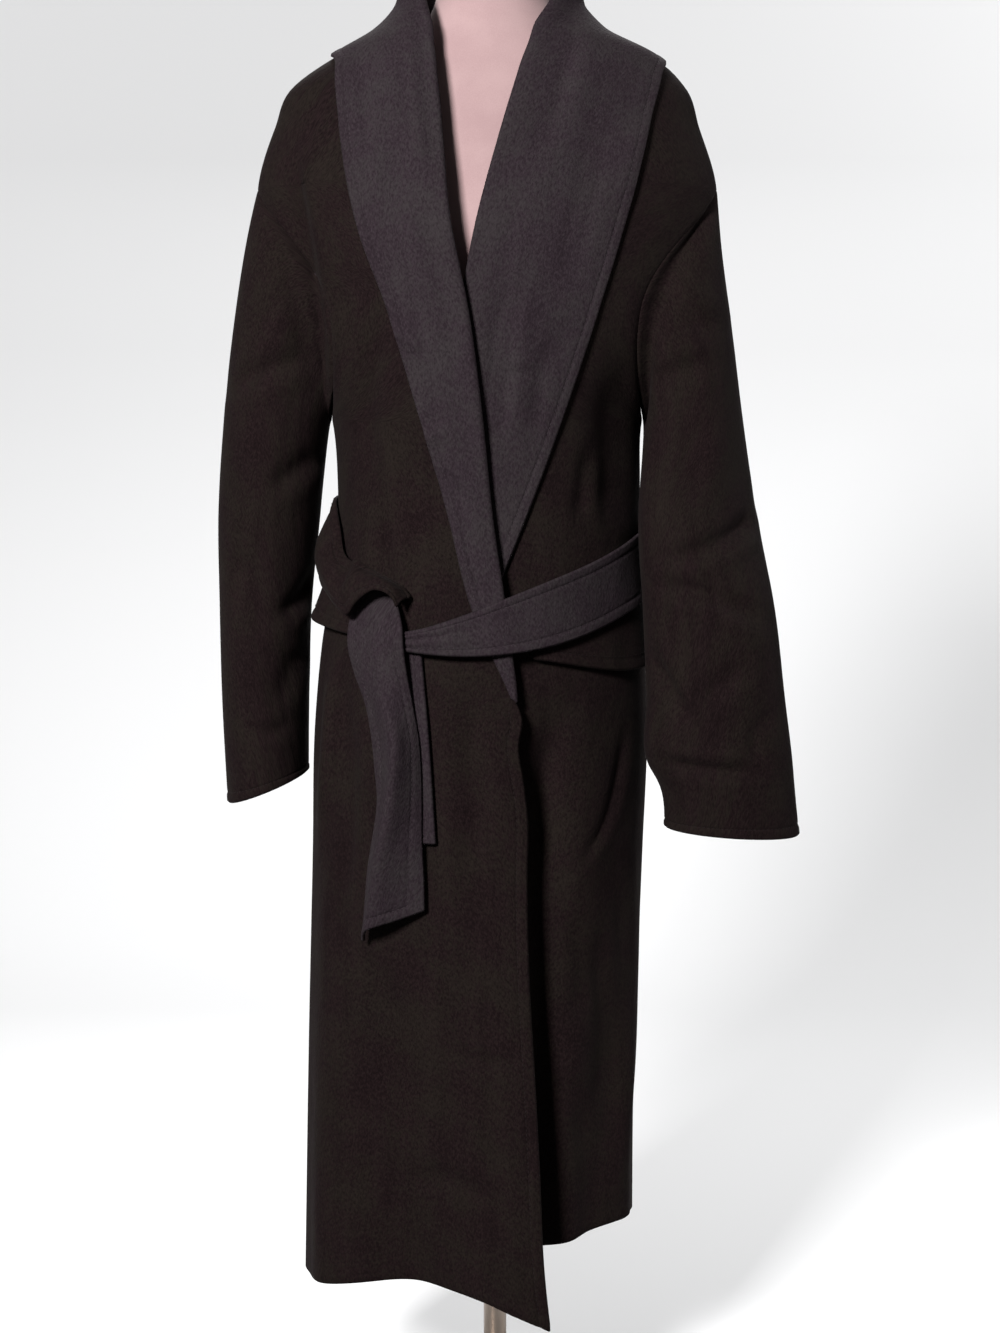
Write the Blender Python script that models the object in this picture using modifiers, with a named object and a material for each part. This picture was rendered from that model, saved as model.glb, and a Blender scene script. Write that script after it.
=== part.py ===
"""Wrap maxi coat in double-faced wool, belted, on a limbless dress form with a pole and a round base.

Metres, +Z up. The coat's front faces -Y and +X is the wearer's left. A turn is an angle round the
body in degrees: 0 at centre front, 90 at the wearer's left side, 180 at centre back, 270 or -90 at
the wearer's right side. A lift is a distance out from the coat's body surface.
"""
import math

import bmesh
import bpy
import numpy as np
from mathutils import Vector

# The coat hangs a little to the wearer's right of the form's middle
COAT_SHIFT = -0.005

# Cloth
WALL = 0.0024
SEAM = 0.0003
SEAM_TURN = 0.06
FOLD_RADIUS = 0.0025
FOLD_RADIUS_BREAK = 0.0012
COLLAR_BRIDGE = 0.05

# Heights of the coat
HEM_ZONE_TOP = 0.60
HEM_LEVEL = 0.15
BREAK_HEIGHT = 0.775
ARMPIT_HEIGHT = 1.044
SHOULDER_POINT = 1.274
NECK_SEAM = 1.452

# Armholes
ARMHOLE_DEPTH_FRONT = 40.0
ARMHOLE_DEPTH_BACK = 36.0
ARMHOLE_SQUARENESS = 0.6

# Right front over left front
LAP_LIFT = 0.0135
LAP_FULL_BELOW = 1.20
LAP_NONE_ABOVE = 1.34
EDGE_FLARE = 0.020
UNDER_HOLLOW = 0.019

# Belt
BELT_WALL = 0.0026

# Dress form, pole and base
POLE_RADIUS = 0.012
BASE_RADIUS = 0.158
BASE_THICKNESS = 0.010
BOSS_RADIUS = 0.030
BOSS_HEIGHT = 0.020
TORSO_BOTTOM = 0.760
NECK_TOP = 1.512
CAP_HEIGHT = 0.014

# Counts of the faceted walls
HEM_ROWS = 6
WAIST_ROWS = 7
ARMHOLE_ROWS = 7
SHOULDER_ROWS = 6
FRONT_COLUMNS = 8
BACK_COLUMNS = 14
SLEEVE_ROWS = 12
COLLAR_ACROSS = 10
NECK_COLUMNS = 6
BELT_COLUMNS = 32

# Body surface: height, half-width on the wearer's right, on the wearer's left, depth in front, at the back
BODY = (
    (0.150, 0.196, 0.150, 0.142, 0.154),
    (0.400, 0.190, 0.151, 0.140, 0.150),
    (0.600, 0.184, 0.158, 0.138, 0.146),
    (0.740, 0.180, 0.162, 0.136, 0.140),
    (0.820, 0.172, 0.158, 0.132, 0.128),
    (0.900, 0.158, 0.1525, 0.128, 0.116),
    (0.980, 0.155, 0.1530, 0.127, 0.112),
    (1.044, 0.160, 0.1545, 0.131, 0.112),
    (1.150, 0.198, 0.192, 0.130, 0.113),
    (1.274, 0.233, 0.228, 0.114, 0.114),
    (1.335, 0.215, 0.210, 0.103, 0.110),
    (1.375, 0.196, 0.195, 0.096, 0.102),
    (1.400, 0.160, 0.168, 0.089, 0.094),
    (1.425, 0.113, 0.114, 0.083, 0.087),
    (1.445, 0.091, 0.092, 0.078, 0.081),
    (1.470, 0.082, 0.084, 0.072, 0.076),
    (1.510, 0.078, 0.080, 0.070, 0.075),
)

# Main folds: turn and height at the top, turn and height at the foot, half-width in degrees, depth at foot
FOLDS = (
    (-32.0, 0.72, -24.0, 0.10, 15.0, -0.030),
    (-62.0, 0.80, -58.0, 0.10, 10.0, 0.008),
    (48.0, 0.78, 44.0, 0.15, 9.0, -0.010),
    (66.0, 0.78, 64.0, 0.15, 8.0, 0.007),
    (118.0, 0.80, 114.0, 0.10, 11.0, -0.010),
    (142.0, 0.82, 140.0, 0.10, 10.0, 0.010),
    (176.0, 0.84, 182.0, 0.10, 12.0, -0.012),
    (212.0, 0.82, 216.0, 0.10, 10.0, 0.010),
    (240.0, 0.80, 246.0, 0.10, 11.0, -0.010),
)

# Hem heights: turn, height
HEM_OVER = ((-90.0, 0.155), (-60.0, 0.166), (-30.0, 0.182), (-10.0, 0.181), (8.0, 0.165), (26.0, 0.140))
HEM_UNDER = ((-26.0, 0.212), (18.0, 0.217), (40.0, 0.223), (62.0, 0.230), (90.0, 0.219))
HEM_BACK = ((90.0, 0.219), (135.0, 0.190), (180.0, 0.166), (225.0, 0.158), (270.0, 0.155))

# Edge of the over front below the break: height, x
EDGE_OVER = (
    (0.140, 0.0500), (0.200, 0.0443), (0.321, 0.0400), (0.412, 0.0369), (0.500, 0.0337), (0.602, 0.0328),
    (0.660, 0.0335), (0.695, 0.0298), (0.731, 0.0252), (0.757, 0.0284), (0.775, 0.0225),
)
# Edge of the under front below the break: height, x
EDGE_UNDER = ((0.212, -0.060), (0.775, -0.058))

# Lapels from the break up: roll line x and height, outer edge x and height
LAPEL_OVER = (
    (0.0225, 0.775, 0.0199, 0.777),
    (0.0212, 0.790, 0.0152, 0.791),
    (0.0194, 0.8035, 0.0088, 0.804),
    (0.0166, 0.820, 0.0017, 0.821),
    (0.0095, 0.872, -0.0170, 0.872),
    (-0.0005, 0.945, -0.0340, 0.950),
    (-0.0100, 1.045, -0.0590, 1.045),
    (-0.0235, 1.150, -0.0905, 1.150),
    (-0.0405, 1.235, -0.1190, 1.225),
    (-0.0470, 1.300, -0.1350, 1.285),
    (-0.0525, 1.365, -0.1440, 1.345),
    (-0.0580, 1.435, -0.1440, 1.406),
)
LAPEL_UNDER = (
    (-0.0580, 0.775, -0.0500, 0.777),
    (-0.0560, 0.815, -0.0220, 0.815),
    (-0.0530, 0.872, 0.0020, 0.872),
    (-0.0470, 0.945, 0.0310, 0.945),
    (-0.0370, 1.045, 0.0670, 1.045),
    (-0.0232, 1.150, 0.1020, 1.150),
    (-0.0075, 1.235, 0.1260, 1.228),
    (0.0095, 1.300, 0.1430, 1.290),
    (0.0285, 1.365, 0.1570, 1.350),
    (0.0490, 1.435, 0.1680, 1.395),
)

# Collar round the neck, mirrored left and right: roll turn and height, outer edge turn and height
COLLAR_NECK = (
    (62.0, 1.468, 97.0, 1.404),
    (92.0, 1.484, 114.0, 1.392),
    (132.0, 1.494, 142.0, 1.377),
    (180.0, 1.497, 180.0, 1.368),
)

# Sleeves: height, x of the outer line, x of the inner line, y of the front, y of the back,
# degrees the inner line is swung to the front
SLEEVE_RIGHT = (
    (0.640, -0.2742, -0.1905, -0.036, 0.088, 0.0),
    (0.765, -0.2789, -0.1885, -0.038, 0.086, 0.0),
    (0.859, -0.2796, -0.1845, -0.042, 0.084, 0.0),
    (0.947, -0.2793, -0.1750, -0.047, 0.083, 0.0),
    (1.044, -0.2719, -0.1665, -0.053, 0.082, 0.0),
    (1.136, -0.2605, -0.1640, -0.062, 0.082, 0.0),
    (1.206, -0.2494, -0.1640, -0.070, 0.082, 0.0),
    (1.274, -0.2345, -0.1640, -0.074, 0.082, 0.0),
)
SLEEVE_LEFT = (
    (0.620, 0.3120, 0.1763, -0.124, -0.024, 0.0),
    (0.685, 0.3045, 0.1684, -0.131, -0.025, 0.0),
    (0.703, 0.3027, 0.1585, -0.133, -0.025, 0.0),
    (0.767, 0.2941, 0.1562, -0.136, -0.024, 0.0),
    (0.857, 0.2835, 0.1520, -0.135, -0.017, 3.0),
    (0.946, 0.2700, 0.1470, -0.120, 0.014, 22.0),
    (1.044, 0.2565, 0.1570, -0.091, 0.062, 8.0),
    (1.136, 0.2440, 0.1580, -0.084, 0.076, 0.0),
    (1.206, 0.2340, 0.1580, -0.080, 0.080, 0.0),
    (1.274, 0.2295, 0.1580, -0.078, 0.082, 0.0),
)
CUFF_RIGHT_OUTER = 0.650
CUFF_RIGHT_INNER = 0.682
CUFF_LEFT_OUTER = 0.633
CUFF_LEFT_INNER = 0.641
SLEEVE_SET = 0.42
SLEEVE_EASE = 0.4
UNDER_ARM_RATE = 5.0
SLEEVE_GAP = 0.0006
SLEEVE_GAP_TURN = 0.22

# Belt round the waist from the knot over the front, the left side and the back to the right side:
# turn, height of the middle line, width, lift of the outer face
BELT_PATH = (
    (-38.0, 0.8330, 0.009, 0.0235),
    (-32.0, 0.8310, 0.011, 0.0250),
    (-22.0, 0.8310, 0.019, 0.0265),
    (-8.0, 0.8370, 0.036, 0.0275),
    (6.0, 0.8470, 0.051, 0.0265),
    (20.0, 0.8580, 0.060, 0.0215),
    (38.0, 0.8730, 0.064, 0.0150),
    (58.0, 0.8900, 0.066, 0.0110),
    (90.0, 0.9080, 0.066, 0.0085),
    (135.0, 0.9120, 0.066, 0.0075),
    (180.0, 0.9140, 0.066, 0.0070),
    (225.0, 0.9180, 0.066, 0.0075),
    (262.0, 0.9260, 0.066, 0.0090),
)

# Loop of the knot: turn, height and lift of its upper edge, then of its lower rim
KNOT_LOOP = (
    (-97.0, 0.966, 0.0042, -97.0, 0.892, 0.0110),
    (-83.0, 0.961, 0.0046, -82.0, 0.882, 0.0130),
    (-70.0, 0.938, 0.0066, -64.0, 0.872, 0.0205),
    (-62.5, 0.914, 0.0097, -51.5, 0.860, 0.0310),
    (-54.4, 0.904, 0.0130, -45.4, 0.853, 0.0360),
    (-50.0, 0.906, 0.0155, -41.7, 0.864, 0.0410),
    (-43.5, 0.899, 0.0176, -38.3, 0.873, 0.0440),
    (-38.0, 0.893, 0.0192, -34.5, 0.880, 0.0450),
    (-32.6, 0.8875, 0.0203, -31.0, 0.8790, 0.0440),
    (-28.4, 0.8815, 0.0210, -28.6, 0.8735, 0.0415),
    (-25.6, 0.8735, 0.0215, -27.4, 0.8650, 0.0380),
)
KNOT_BULGE = 0.0155
KNOT_ARCH = 0.004

# Belt ends: height, x of the lines across from the left edge to the right edge, lifts of the same lines off
# the over front. The long end has five lines: left edge, left fold, ridge, hollow, right edge.
TAIL_LONG = (
    (0.880, -0.1095, -0.1035, -0.0985, -0.0930, -0.0880, 0.0075, 0.0060, 0.0085, 0.0085, 0.0080),
    (0.863, -0.1200, -0.1136, -0.1000, -0.0890, -0.0798, 0.0105, 0.0090, 0.0135, 0.0130, 0.0125),
    (0.847, -0.1237, -0.1139, -0.0988, -0.0858, -0.0750, 0.0120, 0.0130, 0.0180, 0.0185, 0.0175),
    (0.826, -0.1244, -0.1111, -0.0952, -0.0827, -0.0733, 0.0140, 0.0180, 0.0210, 0.0215, 0.0195),
    (0.800, -0.1185, -0.1063, -0.0925, -0.0801, -0.0712, 0.0140, 0.0190, 0.0230, 0.0215, 0.0170),
    (0.769, -0.1095, -0.0999, -0.0850, -0.0755, -0.0680, 0.0105, 0.0170, 0.0280, 0.0200, 0.0115),
    (0.733, -0.1036, -0.0905, -0.0770, -0.0700, -0.0635, 0.0095, 0.0190, 0.0340, 0.0210, 0.0090),
    (0.707, -0.1010, -0.0885, -0.0775, -0.0696, -0.0620, 0.0100, 0.0215, 0.0360, 0.0220, 0.0090),
    (0.676, -0.0985, -0.0905, -0.0800, -0.0708, -0.0615, 0.0110, 0.0230, 0.0360, 0.0220, 0.0090),
    (0.641, -0.1020, -0.0962, -0.0860, -0.0740, -0.0615, 0.0130, 0.0235, 0.0350, 0.0215, 0.0090),
    (0.608, -0.1078, -0.1022, -0.0922, -0.0766, -0.0606, 0.0135, 0.0235, 0.0345, 0.0215, 0.0090),
    (0.578, -0.1115, -0.1060, -0.0962, -0.0784, -0.0600, 0.0135, 0.0225, 0.0330, 0.0205, 0.0090),
    (0.552, -0.1150, -0.1104, -0.1004, -0.0804, -0.0598, 0.0135, 0.0215, 0.0310, 0.0195, 0.0095),
)
TAIL_SHORT = (
    (0.820, -0.1000, -0.0780, -0.0620, 0.0064, 0.0068, 0.0064),
    (0.740, -0.1000, -0.0740, -0.0560, 0.0060, 0.0064, 0.0060),
    (0.636, -0.0960, -0.0720, -0.0500, 0.0060, 0.0064, 0.0060),
)
TAIL_SLANT = 0.036

# Pocket flaps: inner turn, outer turn, top height at the inner end, at the outer end, lower height at the
# inner end, at the outer end, lift off the front along the top, at the lower edge's two ends, lower sag
FLAP_RIGHT = (-30.0, -88.0, 0.864, 0.906, 0.832, 0.842, 0.0040, 0.0044, 0.0150, 0.000)
FLAP_LEFT = (15.5, 77.0, 0.858, 0.872, 0.815, 0.802, 0.0050, 0.0090, 0.0090, 0.008)

# Torso of the form: height, half-width, depth in front, depth at the back
TORSO = (
    (0.760, 0.126, 0.094, 0.092),
    (0.800, 0.138, 0.102, 0.106),
    (0.860, 0.138, 0.102, 0.104),
    (0.930, 0.124, 0.094, 0.092),
    (0.990, 0.114, 0.088, 0.082),
    (1.060, 0.120, 0.096, 0.084),
    (1.150, 0.132, 0.112, 0.090),
    (1.220, 0.136, 0.104, 0.092),
    (1.290, 0.148, 0.088, 0.090),
    (1.345, 0.160, 0.078, 0.084),
    (1.378, 0.152, 0.071, 0.076),
    (1.402, 0.116, 0.066, 0.069),
    (1.425, 0.080, 0.060, 0.063),
    (1.450, 0.062, 0.056, 0.059),
    (1.480, 0.056, 0.054, 0.056),
    (1.512, 0.055, 0.053, 0.055),
)
TORSO_AROUND = 24


def read_table(table, where):
    """Columns of a table at a place along its first column, on a smooth curve through the rows."""
    rows = np.asarray(table, dtype=float)
    keys = rows[:, 0]
    where = min(max(where, keys[0]), keys[-1])
    index = int(min(np.searchsorted(keys, where, side="right") - 1, len(keys) - 2))
    slopes = np.gradient(rows[:, 1:], keys, axis=0)
    step = keys[index + 1] - keys[index]
    part = (where - keys[index]) / step
    start, end = rows[index, 1:], rows[index + 1, 1:]
    out, back = slopes[index] * step, slopes[index + 1] * step
    return (
        start * (1 + 2 * part) * (1 - part) ** 2
        + out * part * (1 - part) ** 2
        + end * part ** 2 * (3 - 2 * part)
        + back * part ** 2 * (part - 1)
    )


def line_table(table, where):
    """Columns of a table at a place along its first column, on straight lines between the rows."""
    rows = np.asarray(table, dtype=float)
    return np.array([np.interp(where, rows[:, 0], rows[:, column]) for column in range(1, rows.shape[1])])


def ease(value):
    """Smooth step from 0 to 1."""
    value = min(max(value, 0.0), 1.0)
    return value * value * (3.0 - 2.0 * value)


def fold_depth(turn, height):
    """Sum of the main folds at a place on the body."""
    total = 0.0
    for turn_top, top, turn_foot, foot, half_width, depth in FOLDS:
        part = (top - height) / (top - foot)
        if part <= 0.0:
            continue
        middle = turn_top + (turn_foot - turn_top) * min(part, 1.0)
        away = (turn - middle + 180.0) % 360.0 - 180.0
        total += depth * ease(part) * math.exp(-((away / half_width) ** 2))
    return total


def body_section(turn, height):
    """Point on the body surface before any fold."""
    right, left, front, back = read_table(BODY, height)
    angle = math.radians(turn)
    across, along = math.sin(angle), math.cos(angle)
    return Vector((across * (left if across > 0 else right), -along * (front if along > 0 else back), height))


def body_normal(turn, height):
    """Unit vector out of the body surface."""
    around = body_section(turn + 0.5, height) - body_section(turn - 0.5, height)
    rise = body_section(turn, height + 0.002) - body_section(turn, height - 0.002)
    return around.cross(rise).normalized()


def body_point(turn, height, lift=0.0):
    """Point at a lift from the folded body surface."""
    return body_section(turn, height) + body_normal(turn, height) * (fold_depth(turn, height) + lift)


def turn_at(x, height):
    """Turn on the front half at which the body surface has that x."""
    right, left, _, _ = read_table(BODY, height)
    share = x / (left if x > 0 else right)
    return math.degrees(math.asin(min(max(share, -1.0), 1.0)))


def hem_height(hem, turn, height):
    """Row height moved so that the lowest row follows the hem."""
    if height >= HEM_ZONE_TOP:
        return height
    low = line_table(hem, turn)[0]
    return HEM_ZONE_TOP - (HEM_ZONE_TOP - height) * (HEM_ZONE_TOP - low) / (HEM_ZONE_TOP - HEM_LEVEL)


def panel_heights():
    """Row heights shared by the fronts, the back, the armholes and the lapels."""
    hem = np.linspace(HEM_LEVEL, BREAK_HEIGHT, HEM_ROWS + 1)[:-1]
    waist = np.linspace(BREAK_HEIGHT, ARMPIT_HEIGHT, WAIST_ROWS + 1)[:-1]
    swing = (1.0 - np.cos(np.linspace(0.0, math.pi, ARMHOLE_ROWS + 1))) / 2.0
    armhole = (ARMPIT_HEIGHT + swing * (SHOULDER_POINT - ARMPIT_HEIGHT))[:-1]
    shoulder = np.linspace(SHOULDER_POINT, NECK_SEAM, SHOULDER_ROWS + 1)
    return np.concatenate([hem, waist, armhole, shoulder])


HEIGHTS = panel_heights()
PANEL_ROWS = len(HEIGHTS) - 1


def row_height(share):
    """Nominal height at a share of the panel rows."""
    return float(np.interp(share * PANEL_ROWS, np.arange(PANEL_ROWS + 1), HEIGHTS))


def armhole_turn(height, depth):
    """How far the armhole cuts in from the side at a height, in degrees."""
    part = (height - ARMPIT_HEIGHT) / (SHOULDER_POINT - ARMPIT_HEIGHT)
    if part <= 0.0 or part >= 1.0:
        return 0.0
    return depth * math.sin(math.pi * part) ** ARMHOLE_SQUARENESS


def inner_turn(height, lapel, edge, side):
    """Turn of a front's inner edge: the front edge, then the roll line, then the neck seam."""
    if height <= BREAK_HEIGHT:
        return turn_at(line_table(edge, height)[0], height)
    top = lapel[-1][1]
    if height <= top:
        return turn_at(line_table([(row[1], row[0]) for row in lapel], height)[0], height)
    start = turn_at(lapel[-1][0], top)
    return start + (side * COLLAR_NECK[0][0] - start) * (height - top) / (NECK_SEAM - top)


def over_lift(turn, height):
    """Lift of the over front, which clears the under front and its lapel."""
    lap = 1.0 - ease((height - LAP_FULL_BELOW) / (LAP_NONE_ABOVE - LAP_FULL_BELOW))
    flare = EDGE_FLARE * ease((0.70 - height) / 0.5) * ease((turn + 8.0) / 26.0)
    return LAP_LIFT * lap * ease((turn + 78.0) / 52.0) + flare


def under_lift(turn, height):
    """Lift of the under front, which is hollow beside the over front's edge."""
    return -UNDER_HOLLOW * ease((0.80 - height) / 0.12) * math.exp(-(((turn - 20.0) / 11.0) ** 2))


def spread(share):
    """Column places with a narrow first strip beside the seam."""
    return share * (0.55 + 0.45 * share)


def front_place(lapel, edge, hem, side, lift_at):
    """Placing rule of a front: u from the side seam to the inner edge, v from the hem to the neck."""
    def place(u, v, depth):
        height = row_height(v)
        outer = side * (90.0 - SEAM_TURN - armhole_turn(height, ARMHOLE_DEPTH_FRONT))
        turn = outer + (inner_turn(height, lapel, edge, side) - outer) * spread(u)
        height = hem_height(hem, turn, height)
        return body_point(turn, height, lift_at(turn, height) - WALL * depth)
    return place


def back_place(u, v, depth):
    """Placing rule of the back: u from the wearer's left side to the right side."""
    height = row_height(v)
    cut = SEAM_TURN + armhole_turn(height, ARMHOLE_DEPTH_BACK)
    middle = 2.0 * u - 1.0
    share = math.copysign(1.0 - spread(1.0 - abs(middle)), middle)
    turn = 180.0 + (90.0 - cut) * share
    height = hem_height(HEM_BACK, turn, height)
    return body_point(turn, height, -WALL * depth)


def armhole_point(u, side, depth):
    """Point on an armhole edge: u from the armpit by the front to the shoulder and by the back."""
    part = (1.0 - math.cos(2.0 * math.pi * u)) / 2.0
    height = ARMPIT_HEIGHT + part * (SHOULDER_POINT - ARMPIT_HEIGHT)
    deepest = ARMHOLE_DEPTH_FRONT if u < 0.5 else ARMHOLE_DEPTH_BACK
    cut = max(armhole_turn(height, deepest) - SLEEVE_GAP_TURN, 0.0)
    turn = side * (90.0 - (cut if u < 0.5 else -cut))
    height += SLEEVE_GAP * (1.0 - 2.0 * part)
    under_arm = 1.0 - ease(UNDER_ARM_RATE * part)
    edge = body_point(turn, height, SLEEVE_GAP * under_arm)
    out = body_normal(turn, height)
    inward = body_point(side * 90.0, (ARMPIT_HEIGHT + SHOULDER_POINT) / 2.0) - edge
    inward = (inward - out * inward.dot(out)).normalized()
    swing = math.pi * under_arm
    return edge + (inward * math.sin(swing) - out * math.cos(swing)) * (WALL * depth)


def sleeve_section(table, u, height, depth):
    """Point on a sleeve's level section: u from the inner line by the front to the outer line."""
    outer, inner, front, back, swing = read_table(table, height)
    angle = 2.0 * math.pi * u
    half_wide, half_deep = (inner - outer) / 2.0, (back - front) / 2.0
    thin = WALL * depth
    wide = half_wide - math.copysign(thin, half_wide)
    return Vector((
        (inner + outer) / 2.0 + wide * math.cos(angle - math.radians(swing)),
        (front + back) / 2.0 - (half_deep - thin) * math.sin(angle),
        height,
    ))


def sleeve_place(table, side, cuff_outer, cuff_inner):
    """Placing rule of a sleeve: u round it from the armpit, v from the armhole to the cuff."""
    def place(u, v, depth):
        start = armhole_point(u, side, depth)
        cuff = cuff_inner + (cuff_outer - cuff_inner) * (1.0 - math.cos(2.0 * math.pi * u)) / 2.0
        height = start.z + (cuff - start.z) * v * (SLEEVE_EASE + (1.0 - SLEEVE_EASE) * v)
        hang = sleeve_section(table, u, height, depth)
        return start.lerp(hang, 1.0 - max(1.0 - v / SLEEVE_SET, 0.0) ** 2)
    return place


def collar_path(lapel, side):
    """Stations along a collar half from the break to centre back: roll turn and height, edge turn, height."""
    roll = [(row[1], row[0]) for row in lapel]
    edge_x = [(row[1], row[2]) for row in lapel]
    edge_height = [(row[1], row[3]) for row in lapel]
    stations = []
    for height in HEIGHTS:
        if BREAK_HEIGHT - 1e-6 <= height < lapel[-1][1]:
            low = line_table(edge_height, height)[0]
            edge = turn_at(line_table(edge_x, height)[0], low)
            stations.append((turn_at(line_table(roll, height)[0], height), height, edge, low))
    last = stations[-1]
    neck = [(side * row[0], row[1], side * row[2], row[3]) for row in COLLAR_NECK]
    around = np.array([last] + neck)
    places = np.linspace(0.0, len(around) - 1.0, NECK_COLUMNS + 1)[1:]
    table = np.column_stack([np.arange(len(around)), around])
    return stations + [tuple(read_table(table, place)) for place in places]


def collar_place(lapel, side, lift_at):
    """Placing rule of a collar half: u from the break to centre back, v from the seam to the outer edge."""
    path = collar_path(lapel, side)

    def place(u, v, depth):
        roll_turn, roll_height, edge_turn, edge_height = path[int(round(u * (len(path) - 1)))]
        centre_back = 0.09 * ease((u - 0.9) / 0.1) * side
        roll_turn, edge_turn = roll_turn - centre_back, edge_turn - centre_back
        stand = max(roll_height - NECK_SEAM, 0.0)
        base = lift_at(roll_turn, roll_height)
        opening = ease((roll_height - BREAK_HEIGHT) / 0.10)
        radius = FOLD_RADIUS_BREAK + (FOLD_RADIUS - FOLD_RADIUS_BREAK) * opening
        out = body_normal(roll_turn, roll_height)
        crest = body_point(roll_turn, roll_height, base)
        ahead = crest - body_point(
            roll_turn + (edge_turn - roll_turn) * 0.05,
            roll_height + (edge_height - roll_height) * 0.05,
            base,
        )
        ahead = (ahead - out * ahead.dot(out)).normalized()
        step = round(v * COLLAR_ACROSS)
        if step == 0:
            low = body_point(roll_turn, roll_height - stand + SEAM * (stand > 0), base)
            return low + ahead * SEAM - body_normal(roll_turn, roll_height - stand) * (WALL * depth)
        if step < 3:
            swing = math.radians(-90.0 + 60.0 * step)
            reach = radius + WALL * depth
            middle = crest + out * radius + ahead * SEAM
            return middle + (out * math.sin(swing) + ahead * math.cos(swing)) * reach
        share = (step - 3.0) / (COLLAR_ACROSS - 3.0)
        turn = roll_turn + (edge_turn - roll_turn) * share
        height = roll_height + (edge_height - roll_height) * share
        bridge = COLLAR_BRIDGE * stand * math.sin(math.pi * share) ** 1.2
        lift = lift_at(turn, height) + radius * (2.0 - 0.6 * share) + bridge + WALL * depth
        return body_point(turn, height, lift)
    return place, len(path) - 1


def belt_place(u, v, depth):
    """Placing rule of the belt: u along it, v from its lower to its upper edge."""
    turn = BELT_PATH[0][0] + (BELT_PATH[-1][0] - BELT_PATH[0][0]) * u
    height, width, lift = read_table(BELT_PATH, turn)
    return body_point(turn, height + width * (v - 0.5), lift - BELT_WALL * depth)


def walled(face, u, v, depth):
    """Point on or behind a face of the belt, square to the face itself."""
    across = face(min(u + 0.03, 1.0), v) - face(max(u - 0.03, 0.0), v)
    up = face(u, min(v + 0.03, 1.0)) - face(u, max(v - 0.03, 0.0))
    return face(u, v) - across.cross(up).normalized() * (BELT_WALL * depth)


def knot_face(u, v):
    """Outer face of the knot's loop: u from the right side to the front, v from the rim up."""
    rows = [(index,) + row for index, row in enumerate(KNOT_LOOP)]
    top_turn, top, top_lift, rim_turn, rim, rim_lift = read_table(rows, u * (len(rows) - 1))
    swell = math.sin(math.pi * v)
    bulge = KNOT_BULGE * swell * ease(u * 6.0) * (1.0 - 0.75 * ease((u - 0.2) / 0.4))
    lift = rim_lift + (top_lift - rim_lift) * v + bulge
    height = rim + (top - rim) * v + KNOT_ARCH * swell * ease((u - 0.25) / 0.3) * ease((1.15 - u) / 0.4)
    return body_point(rim_turn + (top_turn - rim_turn) * v, height, lift)


def knot_place(u, v, depth):
    """Placing rule of the knot's loop: u from the right side to the front, v from the rim up."""
    return walled(knot_face, u, v, depth)


def tail_place(table, slant):
    """Placing rule of a belt end: u from its left to its right edge over the lengthwise folds, v upward."""
    rows = sorted(table)
    lines = (len(rows[0]) - 1) // 2
    stops = np.linspace(0.0, 1.0, lines)

    def face(u, v):
        height = rows[0][0] + (rows[-1][0] - rows[0][0]) * v
        sizes = read_table(rows, height)
        x = float(np.interp(u, stops, sizes[:lines]))
        lift = float(np.interp(u, stops, sizes[lines:]))
        level = height + slant * (u - 0.5) * (1.0 - ease(v * 4.0))
        turn = turn_at(x, height)
        return body_point(turn, level, over_lift(turn, level) + lift)
    return lambda u, v, depth: walled(face, u, v, depth)


def flap_place(sizes, lift_at):
    """Placing rule of a pocket flap: u along it, v from the lower to the upper edge."""
    inner, outer, top_inner, top_outer, low_inner, low_outer, lift_top, lift_inner, lift_outer, sag = sizes

    def place(u, v, depth):
        turn = inner + (outer - inner) * u
        low = low_inner + (low_outer - low_inner) * ease(u) - sag * math.sin(math.pi * u)
        top = top_inner + (top_outer - top_inner) * u
        height = low + (top - low) * v
        lift_low = lift_inner + (lift_outer - lift_inner) * ease(u)
        lift = lift_at(turn, height) + lift_low + (lift_top - lift_low) * v
        return body_point(turn, height, lift - WALL * depth)
    return place


def new_material(name, colour, roughness, metal=0.0):
    """Plain Principled material."""
    material = bpy.data.materials.new(name)
    material.use_nodes = True
    shader = material.node_tree.nodes["Principled BSDF"]
    shader.inputs["Base Color"].default_value = (*colour, 1.0)
    shader.inputs["Roughness"].default_value = roughness
    shader.inputs["Metallic"].default_value = metal
    return material


def add_object(name, mesh, collection, material):
    """Named object in a collection with its own material."""
    part = bpy.data.objects.new(name, mesh)
    part.data.materials.append(material)
    collection.objects.link(part)
    return part


def finish(name, work, collection, material):
    """Turn a work mesh into a named object with its faces out."""
    bmesh.ops.recalc_face_normals(work, faces=work.faces[:])
    if work.calc_volume(signed=True) < 0.0:
        bmesh.ops.reverse_faces(work, faces=work.faces[:])
    mesh = bpy.data.meshes.new(name)
    work.to_mesh(mesh)
    work.free()
    return add_object(name, mesh, collection, material)


def thicken(work, place, parameters):
    """Give a sheet of cloth its second face and put both faces in place."""
    face_points = work.verts[:]
    made = bmesh.ops.extrude_face_region(work, geom=work.faces[:], use_keep_orig=True)
    back_points = [item for item in made["geom"] if isinstance(item, bmesh.types.BMVert)]
    for depth, points in ((0.0, face_points), (1.0, back_points)):
        for point in points:
            u, v = parameters(point.co)
            point.co = place(u, v, depth) + Vector((COAT_SHIFT, 0.0, 0.0))


def add_sheet(name, columns, rows, place, collection, material):
    """Wall of cloth from a flat grid."""
    work = bmesh.new()
    bmesh.ops.create_grid(work, x_segments=columns, y_segments=rows, size=0.5)
    thicken(work, place, lambda spot: (spot.x + 0.5, spot.y + 0.5))
    return finish(name, work, collection, material)


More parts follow.
